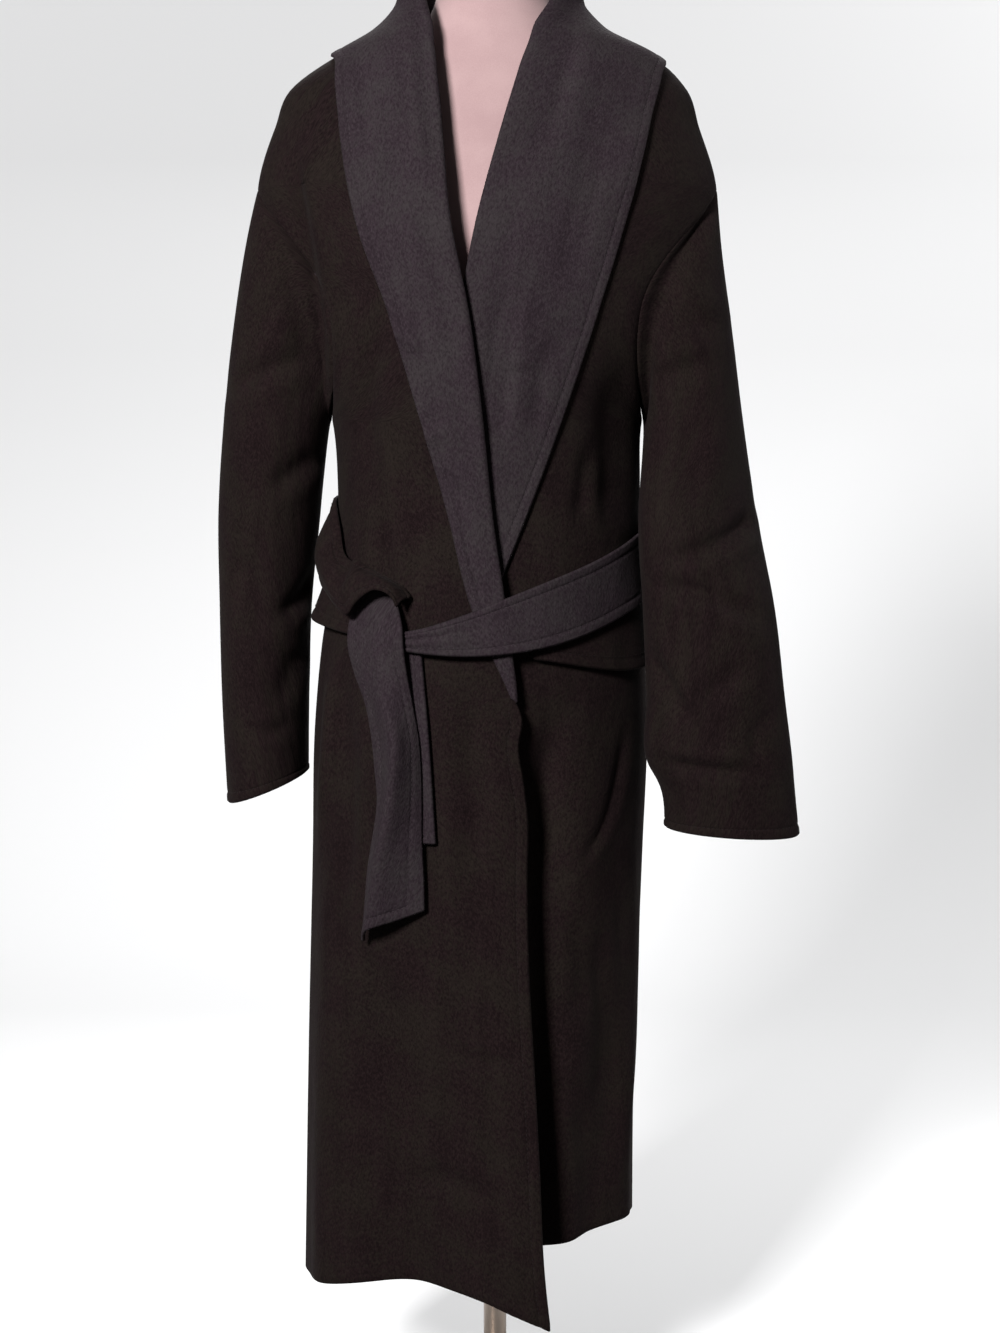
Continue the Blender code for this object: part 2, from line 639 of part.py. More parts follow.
def open_tube(around, rows):
    """Tube of unit height and radius with open ends."""
    work = bmesh.new()
    bmesh.ops.create_cone(work, cap_ends=False, segments=around, radius1=1.0, radius2=1.0, depth=1.0)
    upright = [edge for edge in work.edges if abs(edge.verts[0].co.z - edge.verts[1].co.z) > 0.5]
    bmesh.ops.subdivide_edges(work, edges=upright, cuts=rows - 1)
    return work


def tube_parameters(spot):
    """Share round and share down of a point on the unit tube."""
    return (math.atan2(spot.x, spot.y) / (2.0 * math.pi)) % 1.0, 0.5 - spot.z


def add_sleeve(name, place, collection, material):
    """Wall of cloth from an open tube."""
    work = open_tube(2 * ARMHOLE_ROWS, SLEEVE_ROWS)
    thicken(work, place, tube_parameters)
    return finish(name, work, collection, material)


def add_torso(name, collection, material):
    """Closed body through the torso's sections."""
    rows = len(TORSO) + 3
    work = open_tube(TORSO_AROUND, rows)
    for point in work.verts:
        u, v = tube_parameters(point.co)
        height = TORSO_BOTTOM + (NECK_TOP - TORSO_BOTTOM) * (1.0 - v)
        half, front, back = read_table(TORSO, height)
        across, along = math.sin(2.0 * math.pi * u), math.cos(2.0 * math.pi * u)
        point.co = (half * across, -along * (front if along > 0 else back), height)
    rims = [edge for edge in work.edges if edge.is_boundary]
    bmesh.ops.holes_fill(work, edges=rims, sides=0)
    return finish(name, work, collection, material)


def add_rod(name, radius, bottom, top, collection, material):
    """Upright round rod."""
    work = bmesh.new()
    bmesh.ops.create_cone(work, cap_ends=True, segments=20, radius1=radius, radius2=radius, depth=top - bottom)
    bmesh.ops.translate(work, verts=work.verts[:], vec=(0.0, 0.0, (top + bottom) / 2.0))
    return finish(name, work, collection, material)


def add_turned(name, outline, steps, collection, material):
    """Turned solid from a half outline of radius and height."""
    work = bmesh.new()
    points = [work.verts.new((radius, 0.0, height)) for radius, height in outline]
    for first, second in zip(points, points[1:]):
        work.edges.new((first, second))
    mesh = bpy.data.meshes.new(name)
    work.to_mesh(mesh)
    work.free()
    part = add_object(name, mesh, collection, material)
    screw = part.modifiers.new("Turn", "SCREW")
    screw.axis = "Z"
    screw.steps = steps
    screw.render_steps = steps
    screw.use_merge_vertices = True
    screw.merge_threshold = 0.00001
    screw.use_normal_calculate = True
    return part


for old in list(bpy.data.objects):
    bpy.data.objects.remove(old)

coat = bpy.data.collections.new("Maxi coat on dress form")
bpy.context.scene.collection.children.link(coat)

outer_wool = (0.016, 0.010, 0.010)
inner_wool = (0.040, 0.030, 0.036)

# Body panels
add_sheet("back", BACK_COLUMNS, PANEL_ROWS, back_place, coat, new_material("back_wool", outer_wool, 0.9))
under_front = front_place(LAPEL_UNDER, EDGE_UNDER, HEM_UNDER, 1.0, under_lift)
add_sheet("front_left", FRONT_COLUMNS, PANEL_ROWS, under_front, coat,
          new_material("front_left_wool", outer_wool, 0.9))
over_front = front_place(LAPEL_OVER, EDGE_OVER, HEM_OVER, -1.0, over_lift)
add_sheet("front_right", FRONT_COLUMNS, PANEL_ROWS, over_front, coat,
          new_material("front_right_wool", outer_wool, 0.9))

# Sleeves
right_sleeve = sleeve_place(SLEEVE_RIGHT, -1.0, CUFF_RIGHT_OUTER, CUFF_RIGHT_INNER)
add_sleeve("sleeve_right", right_sleeve, coat, new_material("sleeve_right_wool", outer_wool, 0.9))
left_sleeve = sleeve_place(SLEEVE_LEFT, 1.0, CUFF_LEFT_OUTER, CUFF_LEFT_INNER)
add_sleeve("sleeve_left", left_sleeve, coat, new_material("sleeve_left_wool", outer_wool, 0.9))

# Shawl collar
under_collar, under_columns = collar_place(LAPEL_UNDER, 1.0, under_lift)
add_sheet("collar_left", under_columns, COLLAR_ACROSS, under_collar, coat,
          new_material("collar_left_wool", inner_wool, 0.9))
over_collar, over_columns = collar_place(LAPEL_OVER, -1.0, over_lift)
add_sheet("collar_right", over_columns, COLLAR_ACROSS, over_collar, coat,
          new_material("collar_right_wool", inner_wool, 0.9))

# Pocket flaps
add_sheet("pocket_flap_right", 5, 2, flap_place(FLAP_RIGHT, over_lift), coat,
          new_material("pocket_flap_right_wool", outer_wool, 0.9))
add_sheet("pocket_flap_left", 5, 2, flap_place(FLAP_LEFT, under_lift), coat,
          new_material("pocket_flap_left_wool", outer_wool, 0.9))

# Belt
add_sheet("belt_waist", BELT_COLUMNS, 2, belt_place, coat, new_material("belt_waist_wool", inner_wool, 0.9))
add_sheet("belt_knot", 14, 4, knot_place, coat, new_material("belt_knot_wool", outer_wool, 0.9))
add_sheet("belt_tail_long", 8, 14, tail_place(TAIL_LONG, TAIL_SLANT), coat,
          new_material("belt_tail_long_wool", inner_wool, 0.9))
add_sheet("belt_tail_short", 2, 4, tail_place(TAIL_SHORT, 0.0), coat,
          new_material("belt_tail_short_wool", inner_wool, 0.9))

# Dress form, pole and base
add_torso("form_torso", coat, new_material("form_jersey", (0.37, 0.25, 0.245), 0.85))
cap_bottom = NECK_TOP + SEAM
cap_outline = (
    (0.0, cap_bottom), (0.052, cap_bottom), (0.054, cap_bottom + 0.002),
    (0.054, cap_bottom + CAP_HEIGHT - 0.003), (0.051, cap_bottom + CAP_HEIGHT),
    (0.0, cap_bottom + CAP_HEIGHT),
)
add_turned("form_neck_cap", cap_outline, 24, coat, new_material("cap_black", (0.01, 0.01, 0.01), 0.5))
pole_bottom, pole_top = BASE_THICKNESS + BOSS_HEIGHT + SEAM, TORSO_BOTTOM - SEAM
add_rod("pole", POLE_RADIUS, pole_bottom, pole_top, coat,
        new_material("pole_metal", (0.21, 0.16, 0.13), 0.4, 0.8))
base_outline = (
    (0.0, 0.0), (BASE_RADIUS - 0.003, 0.0), (BASE_RADIUS, 0.003), (BASE_RADIUS, BASE_THICKNESS - 0.003),
    (BASE_RADIUS - 0.004, BASE_THICKNESS), (BOSS_RADIUS, BASE_THICKNESS + 0.004),
    (BOSS_RADIUS - 0.006, BASE_THICKNESS + BOSS_HEIGHT), (0.0, BASE_THICKNESS + BOSS_HEIGHT),
)
add_turned("base", base_outline, 32, coat, new_material("base_metal", (0.21, 0.16, 0.13), 0.4, 0.8))
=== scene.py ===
import math

import bpy
import numpy as np
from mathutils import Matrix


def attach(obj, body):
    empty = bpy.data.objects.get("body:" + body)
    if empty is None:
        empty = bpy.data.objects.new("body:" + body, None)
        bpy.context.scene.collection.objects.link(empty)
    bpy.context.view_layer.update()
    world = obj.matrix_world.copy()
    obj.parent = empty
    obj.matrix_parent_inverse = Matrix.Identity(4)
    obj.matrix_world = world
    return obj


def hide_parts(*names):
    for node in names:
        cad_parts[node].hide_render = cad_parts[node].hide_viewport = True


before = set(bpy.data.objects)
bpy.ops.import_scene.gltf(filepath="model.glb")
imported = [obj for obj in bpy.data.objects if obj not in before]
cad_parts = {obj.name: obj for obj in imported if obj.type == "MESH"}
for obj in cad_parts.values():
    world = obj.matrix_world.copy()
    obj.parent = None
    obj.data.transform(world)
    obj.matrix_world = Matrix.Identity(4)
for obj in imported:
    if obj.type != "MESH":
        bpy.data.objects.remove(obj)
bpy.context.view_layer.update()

# Studio: a pale floor that curves up into a pale wall behind the coat. One lamp stands high at the viewer's
# left and leaves deep shadows, weaker ones light the right side and the back, and two wash the wall.
scene = bpy.context.scene
scene.view_settings.view_transform = "Standard"

# Sensor in millimetres, focal length and picture height in pixels, downward tilt in degrees
SENSOR_HEIGHT, FOCAL_PIXELS, PICTURE_HEIGHT_PIXELS, CAMERA_DOWN = 24.0, 2247.0, 1333.0, 6.4
camera = bpy.data.objects.new("camera", bpy.data.cameras.new("camera"))
camera.data.sensor_fit = "VERTICAL"
camera.data.sensor_height = SENSOR_HEIGHT
camera.data.lens = SENSOR_HEIGHT * FOCAL_PIXELS / PICTURE_HEIGHT_PIXELS
camera.location = (0.0053, -2.30, 1.05)
camera.rotation_euler = (math.radians(90.0 - CAMERA_DOWN), 0.0, 0.0)
scene.collection.objects.link(camera)
scene.camera = camera

SWEEP_HALF_WIDTH = 6.0
SWEEP_FRONT, SWEEP_TURN, SWEEP_RADIUS, SWEEP_TOP = -4.5, 1.6, 1.2, 5.0
SWEEP_FLOOR = -0.0005
sweep_line = [(SWEEP_FRONT, SWEEP_FLOOR), (-1.5, SWEEP_FLOOR), (0.0, SWEEP_FLOOR)]
for step in range(13):
    swing = math.radians(90.0 * step / 12.0)
    sweep_line.append((SWEEP_TURN + SWEEP_RADIUS * math.sin(swing),
                       SWEEP_RADIUS * (1.0 - math.cos(swing)) + SWEEP_FLOOR))
sweep_line.append((SWEEP_TURN + SWEEP_RADIUS, SWEEP_TOP))
sweep_points = [(x, y, z) for y, z in sweep_line for x in (-SWEEP_HALF_WIDTH, SWEEP_HALF_WIDTH)]
sweep_faces = [(2 * i, 2 * i + 1, 2 * i + 3, 2 * i + 2) for i in range(len(sweep_line) - 1)]
sweep_mesh = bpy.data.meshes.new("studio_sweep")
sweep_mesh.from_pydata(sweep_points, [], sweep_faces)
sweep_mesh.polygons.foreach_set("use_smooth", [True] * len(sweep_faces))
sweep = bpy.data.objects.new("studio_sweep", sweep_mesh)
scene.collection.objects.link(sweep)
sweep_paint = bpy.data.materials.new("studio_white")
sweep_paint.use_nodes = True
sweep_shader = sweep_paint.node_tree.nodes["Principled BSDF"]
sweep_shader.inputs["Base Color"].default_value = (0.93, 0.93, 0.935, 1.0)
sweep_shader.inputs["Roughness"].default_value = 0.9
sweep_shader.inputs["Specular IOR Level"].default_value = 0.1
sweep_mesh.materials.append(sweep_paint)
sweep.visible_diffuse = False


def soft_lamp(name, place, target, size, power):
    """Square area lamp turned to a point."""
    lamp = bpy.data.lights.new(name, "AREA")
    lamp.shape = "SQUARE"
    lamp.size = size
    lamp.energy = power
    made = bpy.data.objects.new(name, lamp)
    made.location = place
    aim = np.array(target) - np.array(place)
    level = math.hypot(aim[0], aim[1])
    made.rotation_euler = (math.atan2(level, -aim[2]), 0.0, math.atan2(-aim[0], aim[1]))
    made.visible_camera = False
    scene.collection.objects.link(made)


COAT_MIDDLE = (0.0, 0.0, 0.9)
soft_lamp("key_lamp", (-1.4, -3.0, 2.3), COAT_MIDDLE, 0.7, 190.0)
soft_lamp("side_lamp", (3.2, 0.3, 1.9), COAT_MIDDLE, 1.4, 22.0)
soft_lamp("back_lamp", (0.0, 1.5, 2.7), COAT_MIDDLE, 1.0, 45.0)
soft_lamp("wall_lamp_left", (-2.8, 0.9, 2.6), (-0.8, 2.8, 0.9), 1.8, 14.0)
soft_lamp("wall_lamp_right", (2.8, 0.9, 2.6), (0.8, 2.8, 0.9), 1.8, 46.0)
sky = bpy.data.worlds.new("studio_sky")
sky.use_nodes = True
sky.node_tree.nodes["Background"].inputs["Color"].default_value = (0.97, 0.98, 1.0, 1.0)
sky.node_tree.nodes["Background"].inputs["Strength"].default_value = 0.06
scene.world = sky

# Base of the stand: a round plate of satin grey-brown metal, turned in one piece with the short boss that
# takes the pole. Its flat underside is what the part stands on.
BASE_RADIUS = 0.158
BASE_THICKNESS = 0.010
BOSS_RADIUS = 0.030
BOSS_HEIGHT = 0.020


class Value:
    """A socket of a material's node tree, so that shader maths reads as plain expressions."""

    def __init__(self, tree, socket=None):
        self.tree = tree
        self.socket = socket

    def node(self, kind, settings, inputs, output=0):
        """Add a node of a kind with its settings, then the values or links of its sockets."""
        made = self.tree.nodes.new(kind)
        for key, setting in settings.items():
            setattr(made, key, setting)
        for key, entry in inputs.items():
            if isinstance(entry, Value):
                self.tree.links.new(entry.socket, made.inputs[key])
            else:
                made.inputs[key].default_value = entry
        return Value(self.tree, made.outputs[output])

    def maths(self, operation, first, second):
        """Math node on two numbers or values."""
        return self.node("ShaderNodeMath", {"operation": operation}, {0: first, 1: second})

    def __add__(self, other):
        return self.maths("ADD", self, other)

    __radd__ = __add__

    def __mul__(self, other):
        return self.maths("MULTIPLY", self, other)

    __rmul__ = __mul__

    def noise(self, place, scale, detail=2.0, roughness=0.5):
        """Noise texture read at a place, from about 0.25 to 0.75."""
        return self.node("ShaderNodeTexNoise", {}, {
            "Vector": place, "Scale": scale, "Detail": detail, "Roughness": roughness,
        })

    def stretched(self, place, scale, turn=0.0):
        """A place stretched by a scale on each axis and turned in its plane, in degrees."""
        return self.node("ShaderNodeMapping", {"vector_type": "POINT"}, {
            "Vector": place, "Scale": scale, "Rotation": (0.0, 0.0, math.radians(turn)),
        })

    def blend(self, share, first, second):
        """Colour between two colours."""
        return self.node("ShaderNodeMix", {"data_type": "RGBA"}, {0: share, 6: first, 7: second}, 2)

    def band(self, low, high):
        """Smooth step of this value from 0 at low to 1 at high."""
        return self.node("ShaderNodeMapRange", {"interpolation_type": "SMOOTHSTEP"}, {
            "Value": self, "From Min": low, "From Max": high,
        })

    def relief(self, strength, distance):
        """Normal bent by this value as a height."""
        return self.node("ShaderNodeBump", {}, {"Height": self, "Strength": strength, "Distance": distance})


def new_finish(name):
    """Material with its tree wrapped for expressions, and its shader."""
    material = bpy.data.materials.new(name)
    material.use_nodes = True
    return material, Value(material.node_tree), material.node_tree.nodes["Principled BSDF"]


def feed(tree, shader, **sockets):
    """Link values to the shader's sockets, and set plain numbers and colours on them."""
    for key, entry in sockets.items():
        socket = shader.inputs[key.replace("_", " ")]
        if isinstance(entry, Value):
            tree.tree.links.new(entry.socket, socket)
        else:
            socket.default_value = entry


def satin_metal(name, brush_scale):
    """Grey-brown satin metal with fine brushing, brighter and smoother where it is rubbed."""
    material, tree, shader = new_finish(name)
    spot = tree.node("ShaderNodeTexCoord", {}, {}, "Object")
    brush = tree.noise(tree.stretched(spot, brush_scale), 1.0, 3.0)
    cloud = tree.noise(spot, 14.0, 3.0)
    feed(
        tree, shader,
        Base_Color=tree.blend(cloud.band(0.35, 0.65), (0.27, 0.225, 0.19, 1.0), (0.36, 0.305, 0.26, 1.0)),
        Roughness=0.22 + brush * 0.22 + cloud * 0.10,
        Metallic=0.92,
        Normal=brush.relief(0.12, 0.0002),
    )
    return material


def turned_piece(name, outline, around, material):
    """Turned solid from a half outline of radius and height that starts and ends on the axis."""
    points, rings = [], []
    for radius, height in outline:
        count = 1 if radius == 0.0 else around
        rings.append(range(len(points), len(points) + count))
        for step in range(count):
            swing = 2.0 * math.pi * step / around
            points.append((radius * math.cos(swing), radius * math.sin(swing), height))
    faces = []
    for low, high in zip(rings, rings[1:]):
        for step in range(around):
            corner = [low[step % len(low)], low[(step + 1) % len(low)],
                      high[(step + 1) % len(high)], high[step % len(high)]]
            faces.append(tuple(dict.fromkeys(corner)))
    mesh = bpy.data.meshes.new(name)
    mesh.from_pydata(points, [], faces)
    mesh.polygons.foreach_set("use_smooth", [True] * len(faces))
    mesh.materials.append(material)
    piece = bpy.data.objects.new(name, mesh)
    scene.collection.objects.link(piece)
    piece.modifiers.new("crisp_edges", "EDGE_SPLIT").split_angle = math.radians(40.0)
    return piece


def fit(piece, node):
    """Put a piece in place of its solid, on the one body of the part."""
    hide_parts(node)
    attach(piece, "root")


def rounded(corners, radius, steps=4):
    """Half outline with its inner corners rounded."""
    line = [corners[0]]
    for before, here, after in zip(corners, corners[1:], corners[2:]):
        before, here, after = (np.array(point, dtype=float) for point in (before, here, after))
        reach_in = min(radius, np.linalg.norm(before - here) / 2.0)
        reach_out = min(radius, np.linalg.norm(after - here) / 2.0)
        first = here + (before - here) / np.linalg.norm(before - here) * reach_in
        last = here + (after - here) / np.linalg.norm(after - here) * reach_out
        for step in range(steps + 1):
            part = step / steps
            line.append(tuple(first * (1 - part) ** 2 + here * 2 * part * (1 - part) + last * part ** 2))
    line.append(corners[-1])
    return line


stand_metal = satin_metal("stand_metal_base", (60.0, 60.0, 900.0))
base_outline = rounded((
    (0.0, 0.0), (BASE_RADIUS, 0.0), (BASE_RADIUS, BASE_THICKNESS),
    (BOSS_RADIUS, BASE_THICKNESS + 0.0035), (BOSS_RADIUS - 0.006, BASE_THICKNESS + BOSS_HEIGHT),
    (0.0, BASE_THICKNESS + BOSS_HEIGHT),
), 0.0028)
base_plate = turned_piece("stand_base", base_outline, 96, stand_metal)
fit(base_plate, "base")

# Pole of the stand: a straight metal tube, brushed lengthwise, that stands in the boss of the base and goes
# up into the torso.
POLE_RADIUS = 0.012
POLE_BOTTOM, POLE_TOP = 0.0303, 0.7597

pole_outline = rounded((
    (0.0, POLE_BOTTOM), (POLE_RADIUS, POLE_BOTTOM), (POLE_RADIUS, POLE_TOP), (0.0, POLE_TOP),
), 0.001)
pole = turned_piece("stand_pole", pole_outline, 64, satin_metal("stand_metal_pole", (900.0, 900.0, 8.0)))
fit(pole, "pole")

# Torso of the dress form: a light limbless body with a pink-mauve jersey cover stretched smooth over it and
# drawn in at the neck. Height, half-width, depth in front and depth at the back.
TORSO = (
    (0.760, 0.126, 0.094, 0.092),
    (0.800, 0.138, 0.102, 0.106),
    (0.860, 0.138, 0.102, 0.104),
    (0.930, 0.124, 0.094, 0.092),
    (0.990, 0.114, 0.088, 0.082),
    (1.060, 0.120, 0.096, 0.084),
    (1.150, 0.132, 0.112, 0.090),
    (1.220, 0.136, 0.104, 0.092),
    (1.290, 0.148, 0.088, 0.090),
    (1.345, 0.160, 0.078, 0.084),
    (1.378, 0.152, 0.071, 0.076),
    (1.402, 0.116, 0.066, 0.069),
    (1.425, 0.080, 0.060, 0.063),
    (1.450, 0.062, 0.056, 0.059),
    (1.480, 0.056, 0.054, 0.056),
    (1.512, 0.055, 0.053, 0.055),
)


def read_table(table, where):
    """Columns of a table at places along its first column, on a smooth curve through the rows."""
    rows = np.asarray(table, dtype=float)
    keys = rows[:, 0]
    where = np.clip(np.asarray(where, dtype=float), keys[0], keys[-1])
    index = np.clip(np.searchsorted(keys, where, side="right") - 1, 0, len(keys) - 2)
    slopes = np.gradient(rows[:, 1:], keys, axis=0)
    step = (keys[index + 1] - keys[index])[..., None]
    part = (where - keys[index])[..., None] / step
    found = (
        rows[index, 1:] * (1 + 2 * part) * (1 - part) ** 2
        + slopes[index] * step * part * (1 - part) ** 2
        + rows[index + 1, 1:] * part ** 2 * (3 - 2 * part)
        + slopes[index + 1] * step * part ** 2 * (part - 1)
    )
    return np.moveaxis(found, -1, 0)


def smooth_mesh(name, points, faces, materials, slots=None, chart=None):
    """Smooth-shaded object from points and faces, with a UV map in metres where a chart is given."""
    mesh = bpy.data.meshes.new(name)
    mesh.from_pydata(points.tolist(), [], faces)
    mesh.polygons.foreach_set("use_smooth", [True] * len(mesh.polygons))
    for material in materials:
        mesh.materials.append(material)
    if slots is not None:
        mesh.polygons.foreach_set("material_index", slots)
    if chart is not None:
        corners = np.empty(len(mesh.loops), dtype=np.int32)
        mesh.loops.foreach_get("vertex_index", corners)
        layer = mesh.uv_layers.new(name="cloth")
        layer.data.foreach_set("uv", chart[corners].astype(np.float32).ravel())
    mesh.update()
    made = bpy.data.objects.new(name, mesh)
    scene.collection.objects.link(made)
    return made


torso_rows, torso_around = 150, 96
torso_height = np.linspace(TORSO[0][0], TORSO[-1][0], torso_rows)
torso_half, torso_front, torso_back = (column[:, None] for column in read_table(TORSO, torso_height))
torso_turn = np.linspace(0.0, 2.0 * math.pi, torso_around, endpoint=False)[None, :]
torso_along = np.cos(torso_turn)
torso_points = np.stack(np.broadcast_arrays(
    torso_half * np.sin(torso_turn),
    -torso_along * np.where(torso_along > 0.0, torso_front, torso_back),
    torso_height[:, None],
), axis=-1).reshape(-1, 3)
torso_faces = []
for row in range(torso_rows - 1):
    for step in range(torso_around):
        low, after = row * torso_around, (step + 1) % torso_around
        torso_faces.append((low + step, low + after, low + torso_around + after, low + torso_around + step))
torso_faces.append(tuple(range(torso_around - 1, -1, -1)))
torso_faces.append(tuple(range((torso_rows - 1) * torso_around, torso_rows * torso_around)))

jersey, jersey_tree, jersey_shader = new_finish("form_jersey")
jersey_spot = jersey_tree.node("ShaderNodeTexCoord", {}, {}, "Object")
jersey_knit = jersey_tree.noise(jersey_tree.stretched(jersey_spot, (1500.0, 1500.0, 700.0)), 1.0, 1.0)
jersey_cloud = jersey_tree.noise(jersey_spot, 22.0, 3.0)
jersey_tone = (jersey_cloud * 0.6 + jersey_knit * 0.4).band(0.3, 0.7)
feed(
    jersey_tree, jersey_shader,
    Base_Color=jersey_tree.blend(jersey_tone, (0.385, 0.252, 0.254, 1.0), (0.450, 0.305, 0.303, 1.0)),
    Roughness=0.78 + jersey_knit * 0.15,
    Sheen_Weight=0.25,
    Sheen_Roughness=0.5,
    Specular_IOR_Level=0.25,
    Normal=jersey_knit.relief(0.18, 0.0004),
)
torso = smooth_mesh("form_torso_jersey", torso_points, torso_faces, [jersey])
torso.modifiers.new("crisp_edges", "EDGE_SPLIT").split_angle = math.radians(50.0)
fit(torso, "form_torso")

# Cap of the form: a plain turned disc of matt black plastic that closes the top of the neck.
CAP_BOTTOM, CAP_HEIGHT, CAP_RADIUS = 1.5123, 0.014, 0.054

cap_plastic, cap_tree, cap_shader = new_finish("cap_plastic")
cap_spot = cap_tree.node("ShaderNodeTexCoord", {}, {}, "Object")
cap_grain = cap_tree.noise(cap_spot, 900.0, 2.0)
cap_cloud = cap_tree.noise(cap_spot, 60.0)
feed(
    cap_tree, cap_shader,
    Base_Color=cap_tree.blend(cap_cloud, (0.010, 0.010, 0.011, 1.0), (0.020, 0.019, 0.020, 1.0)),
    Roughness=0.40 + cap_grain * 0.25,
    Normal=cap_grain.relief(0.15, 0.0002),
)
cap_outline = rounded((
    (0.0, CAP_BOTTOM), (CAP_RADIUS, CAP_BOTTOM), (CAP_RADIUS, CAP_BOTTOM + CAP_HEIGHT),
    (0.0, CAP_BOTTOM + CAP_HEIGHT),
), 0.0035)
neck_cap = turned_piece("form_cap", cap_outline, 72, cap_plastic)
fit(neck_cap, "form_neck_cap")

# Back of the coat: one long panel of double-faced wool, brown-black outside and plum-grey inside, sewn to
# the fronts at the sides and shoulders. It hangs from the shoulders and the belt draws it in at the waist.
COAT_SHIFT = -0.005
WALL = 0.0026
SEAM_TURN = 0.06
HEM_ZONE_TOP = 0.60
HEM_LEVEL = 0.15
BREAK_HEIGHT = 0.775
ARMPIT_HEIGHT = 1.044
SHOULDER_POINT = 1.274
NECK_SEAM = 1.452
ARMHOLE_DEPTH_FRONT = 40.0
ARMHOLE_DEPTH_BACK = 36.0
ARMHOLE_SQUARENESS = 0.6
CREASE_FADE = 0.03
# Height, half-width on the wearer's right, on the wearer's left, depth in front, depth at the back
BODY = (
    (0.150, 0.196, 0.150, 0.142, 0.154),
    (0.400, 0.190, 0.151, 0.140, 0.150),
    (0.600, 0.184, 0.158, 0.138, 0.146),
    (0.740, 0.180, 0.162, 0.136, 0.140),
    (0.820, 0.172, 0.158, 0.132, 0.128),
    (0.900, 0.158, 0.1525, 0.128, 0.116),
    (0.980, 0.155, 0.1530, 0.127, 0.112),
    (1.044, 0.160, 0.1545, 0.131, 0.112),
    (1.150, 0.198, 0.192, 0.130, 0.113),
    (1.274, 0.233, 0.228, 0.114, 0.114),
    (1.335, 0.215, 0.210, 0.103, 0.110),
    (1.375, 0.196, 0.195, 0.096, 0.102),
    (1.400, 0.160, 0.168, 0.089, 0.094),
    (1.425, 0.113, 0.114, 0.083, 0.087),
    (1.445, 0.091, 0.092, 0.078, 0.081),
    (1.470, 0.082, 0.084, 0.072, 0.076),
    (1.510, 0.078, 0.080, 0.070, 0.075),
)
# Main folds: turn and height at the top, turn and height at the foot, half-width in degrees, depth at foot
FOLDS = (
    (-32.0, 0.72, -24.0, 0.10, 15.0, -0.030),
    (-62.0, 0.80, -58.0, 0.10, 10.0, 0.008),
    (48.0, 0.78, 44.0, 0.15, 9.0, -0.010),
    (66.0, 0.78, 64.0, 0.15, 8.0, 0.007),
    (118.0, 0.80, 114.0, 0.10, 11.0, -0.010),
    (142.0, 0.82, 140.0, 0.10, 10.0, 0.010),
    (176.0, 0.84, 182.0, 0.10, 12.0, -0.012),
    (212.0, 0.82, 216.0, 0.10, 10.0, 0.010),
    (240.0, 0.80, 246.0, 0.10, 11.0, -0.010),
)
HEM_BACK = ((90.0, 0.219), (135.0, 0.190), (180.0, 0.166), (225.0, 0.158), (270.0, 0.155))
# Creases: half-width, depth, then the stroke's points as distance across and height
BACK_CREASES = (
    (0.0144, -0.0067, ((0.118, 0.93), (0.104, 0.84), (0.112, 0.70))),
    (0.0117, -0.0053, ((0.060, 0.95), (0.052, 0.86), (0.058, 0.76))),
    (0.0162, -0.0075, ((0.010, 0.94), (0.002, 0.82), (-0.006, 0.66))),
    (0.0126, -0.0060, ((-0.052, 0.95), (-0.060, 0.85), (-0.052, 0.74))),
    (0.0144, -0.0067, ((-0.110, 0.94), (-0.100, 0.83), (-0.108, 0.70))),
    (0.0126, -0.0053, ((0.080, 0.92), (0.078, 1.00), (0.092, 1.08))),
    (0.0108, -0.0045, ((0.016, 0.92), (0.020, 1.00), (0.008, 1.07))),
    (0.0126, -0.0053, ((-0.070, 0.92), (-0.074, 0.99), (-0.092, 1.09))),
    (0.0180, -0.0090, ((-0.150, 1.10), (-0.128, 1.20), (-0.122, 1.30))),
    (0.0171, -0.0083, ((0.148, 1.09), (0.126, 1.19), (0.124, 1.29))),
    (0.0108, 0.0030, ((-0.060, 1.06), (-0.010, 1.045), (0.050, 1.062))),
    (0.0135, -0.0045, ((0.090, 0.42), (0.060, 0.37), (0.070, 0.30))),
    (0.0117, -0.0037, ((-0.120, 0.52), (-0.085, 0.47), (-0.080, 0.38))),
)


def ease(value):
    """Smooth step from 0 to 1."""
    value = np.clip(value, 0.0, 1.0)
    return value * value * (3.0 - 2.0 * value)


def fold_depth(turn, height):
    """Sum of the main folds at places on the body."""
    total = np.zeros(np.shape(turn))
    for turn_top, top, turn_foot, foot, half_width, depth in FOLDS:
        part = np.clip((top - height) / (top - foot), 0.0, 1.0)
        away = (turn - turn_top - (turn_foot - turn_top) * part + 180.0) % 360.0 - 180.0
        total = total + depth * ease(part) * np.exp(-((away / half_width) ** 2))
    return total


def body_section(turn, height):
    """Points on the body surface before any fold."""
    turn, height = np.broadcast_arrays(np.asarray(turn, dtype=float), np.asarray(height, dtype=float))
    right, left, front, back = read_table(BODY, height)
    across, along = np.sin(np.radians(turn)), np.cos(np.radians(turn))
    return np.stack([
        across * np.where(across > 0.0, left, right),
        -along * np.where(along > 0.0, front, back),
        height,
    ], axis=-1)


def unit(vectors):
    """Vectors at length one."""
    return vectors / np.maximum(np.linalg.norm(vectors, axis=-1, keepdims=True), 1e-12)


def body_normal(turn, height):
    """Unit vectors out of the body surface."""
    around = body_section(turn + 0.5, height) - body_section(turn - 0.5, height)
    rise = body_section(turn, height + 0.002) - body_section(turn, height - 0.002)
    return unit(np.cross(around, rise))


def body_point(turn, height, lift):
    """Points at a lift from the folded body surface."""
    out = np.asarray(fold_depth(turn, height) + lift)[..., None]
    return body_section(turn, height) + body_normal(turn, height) * out


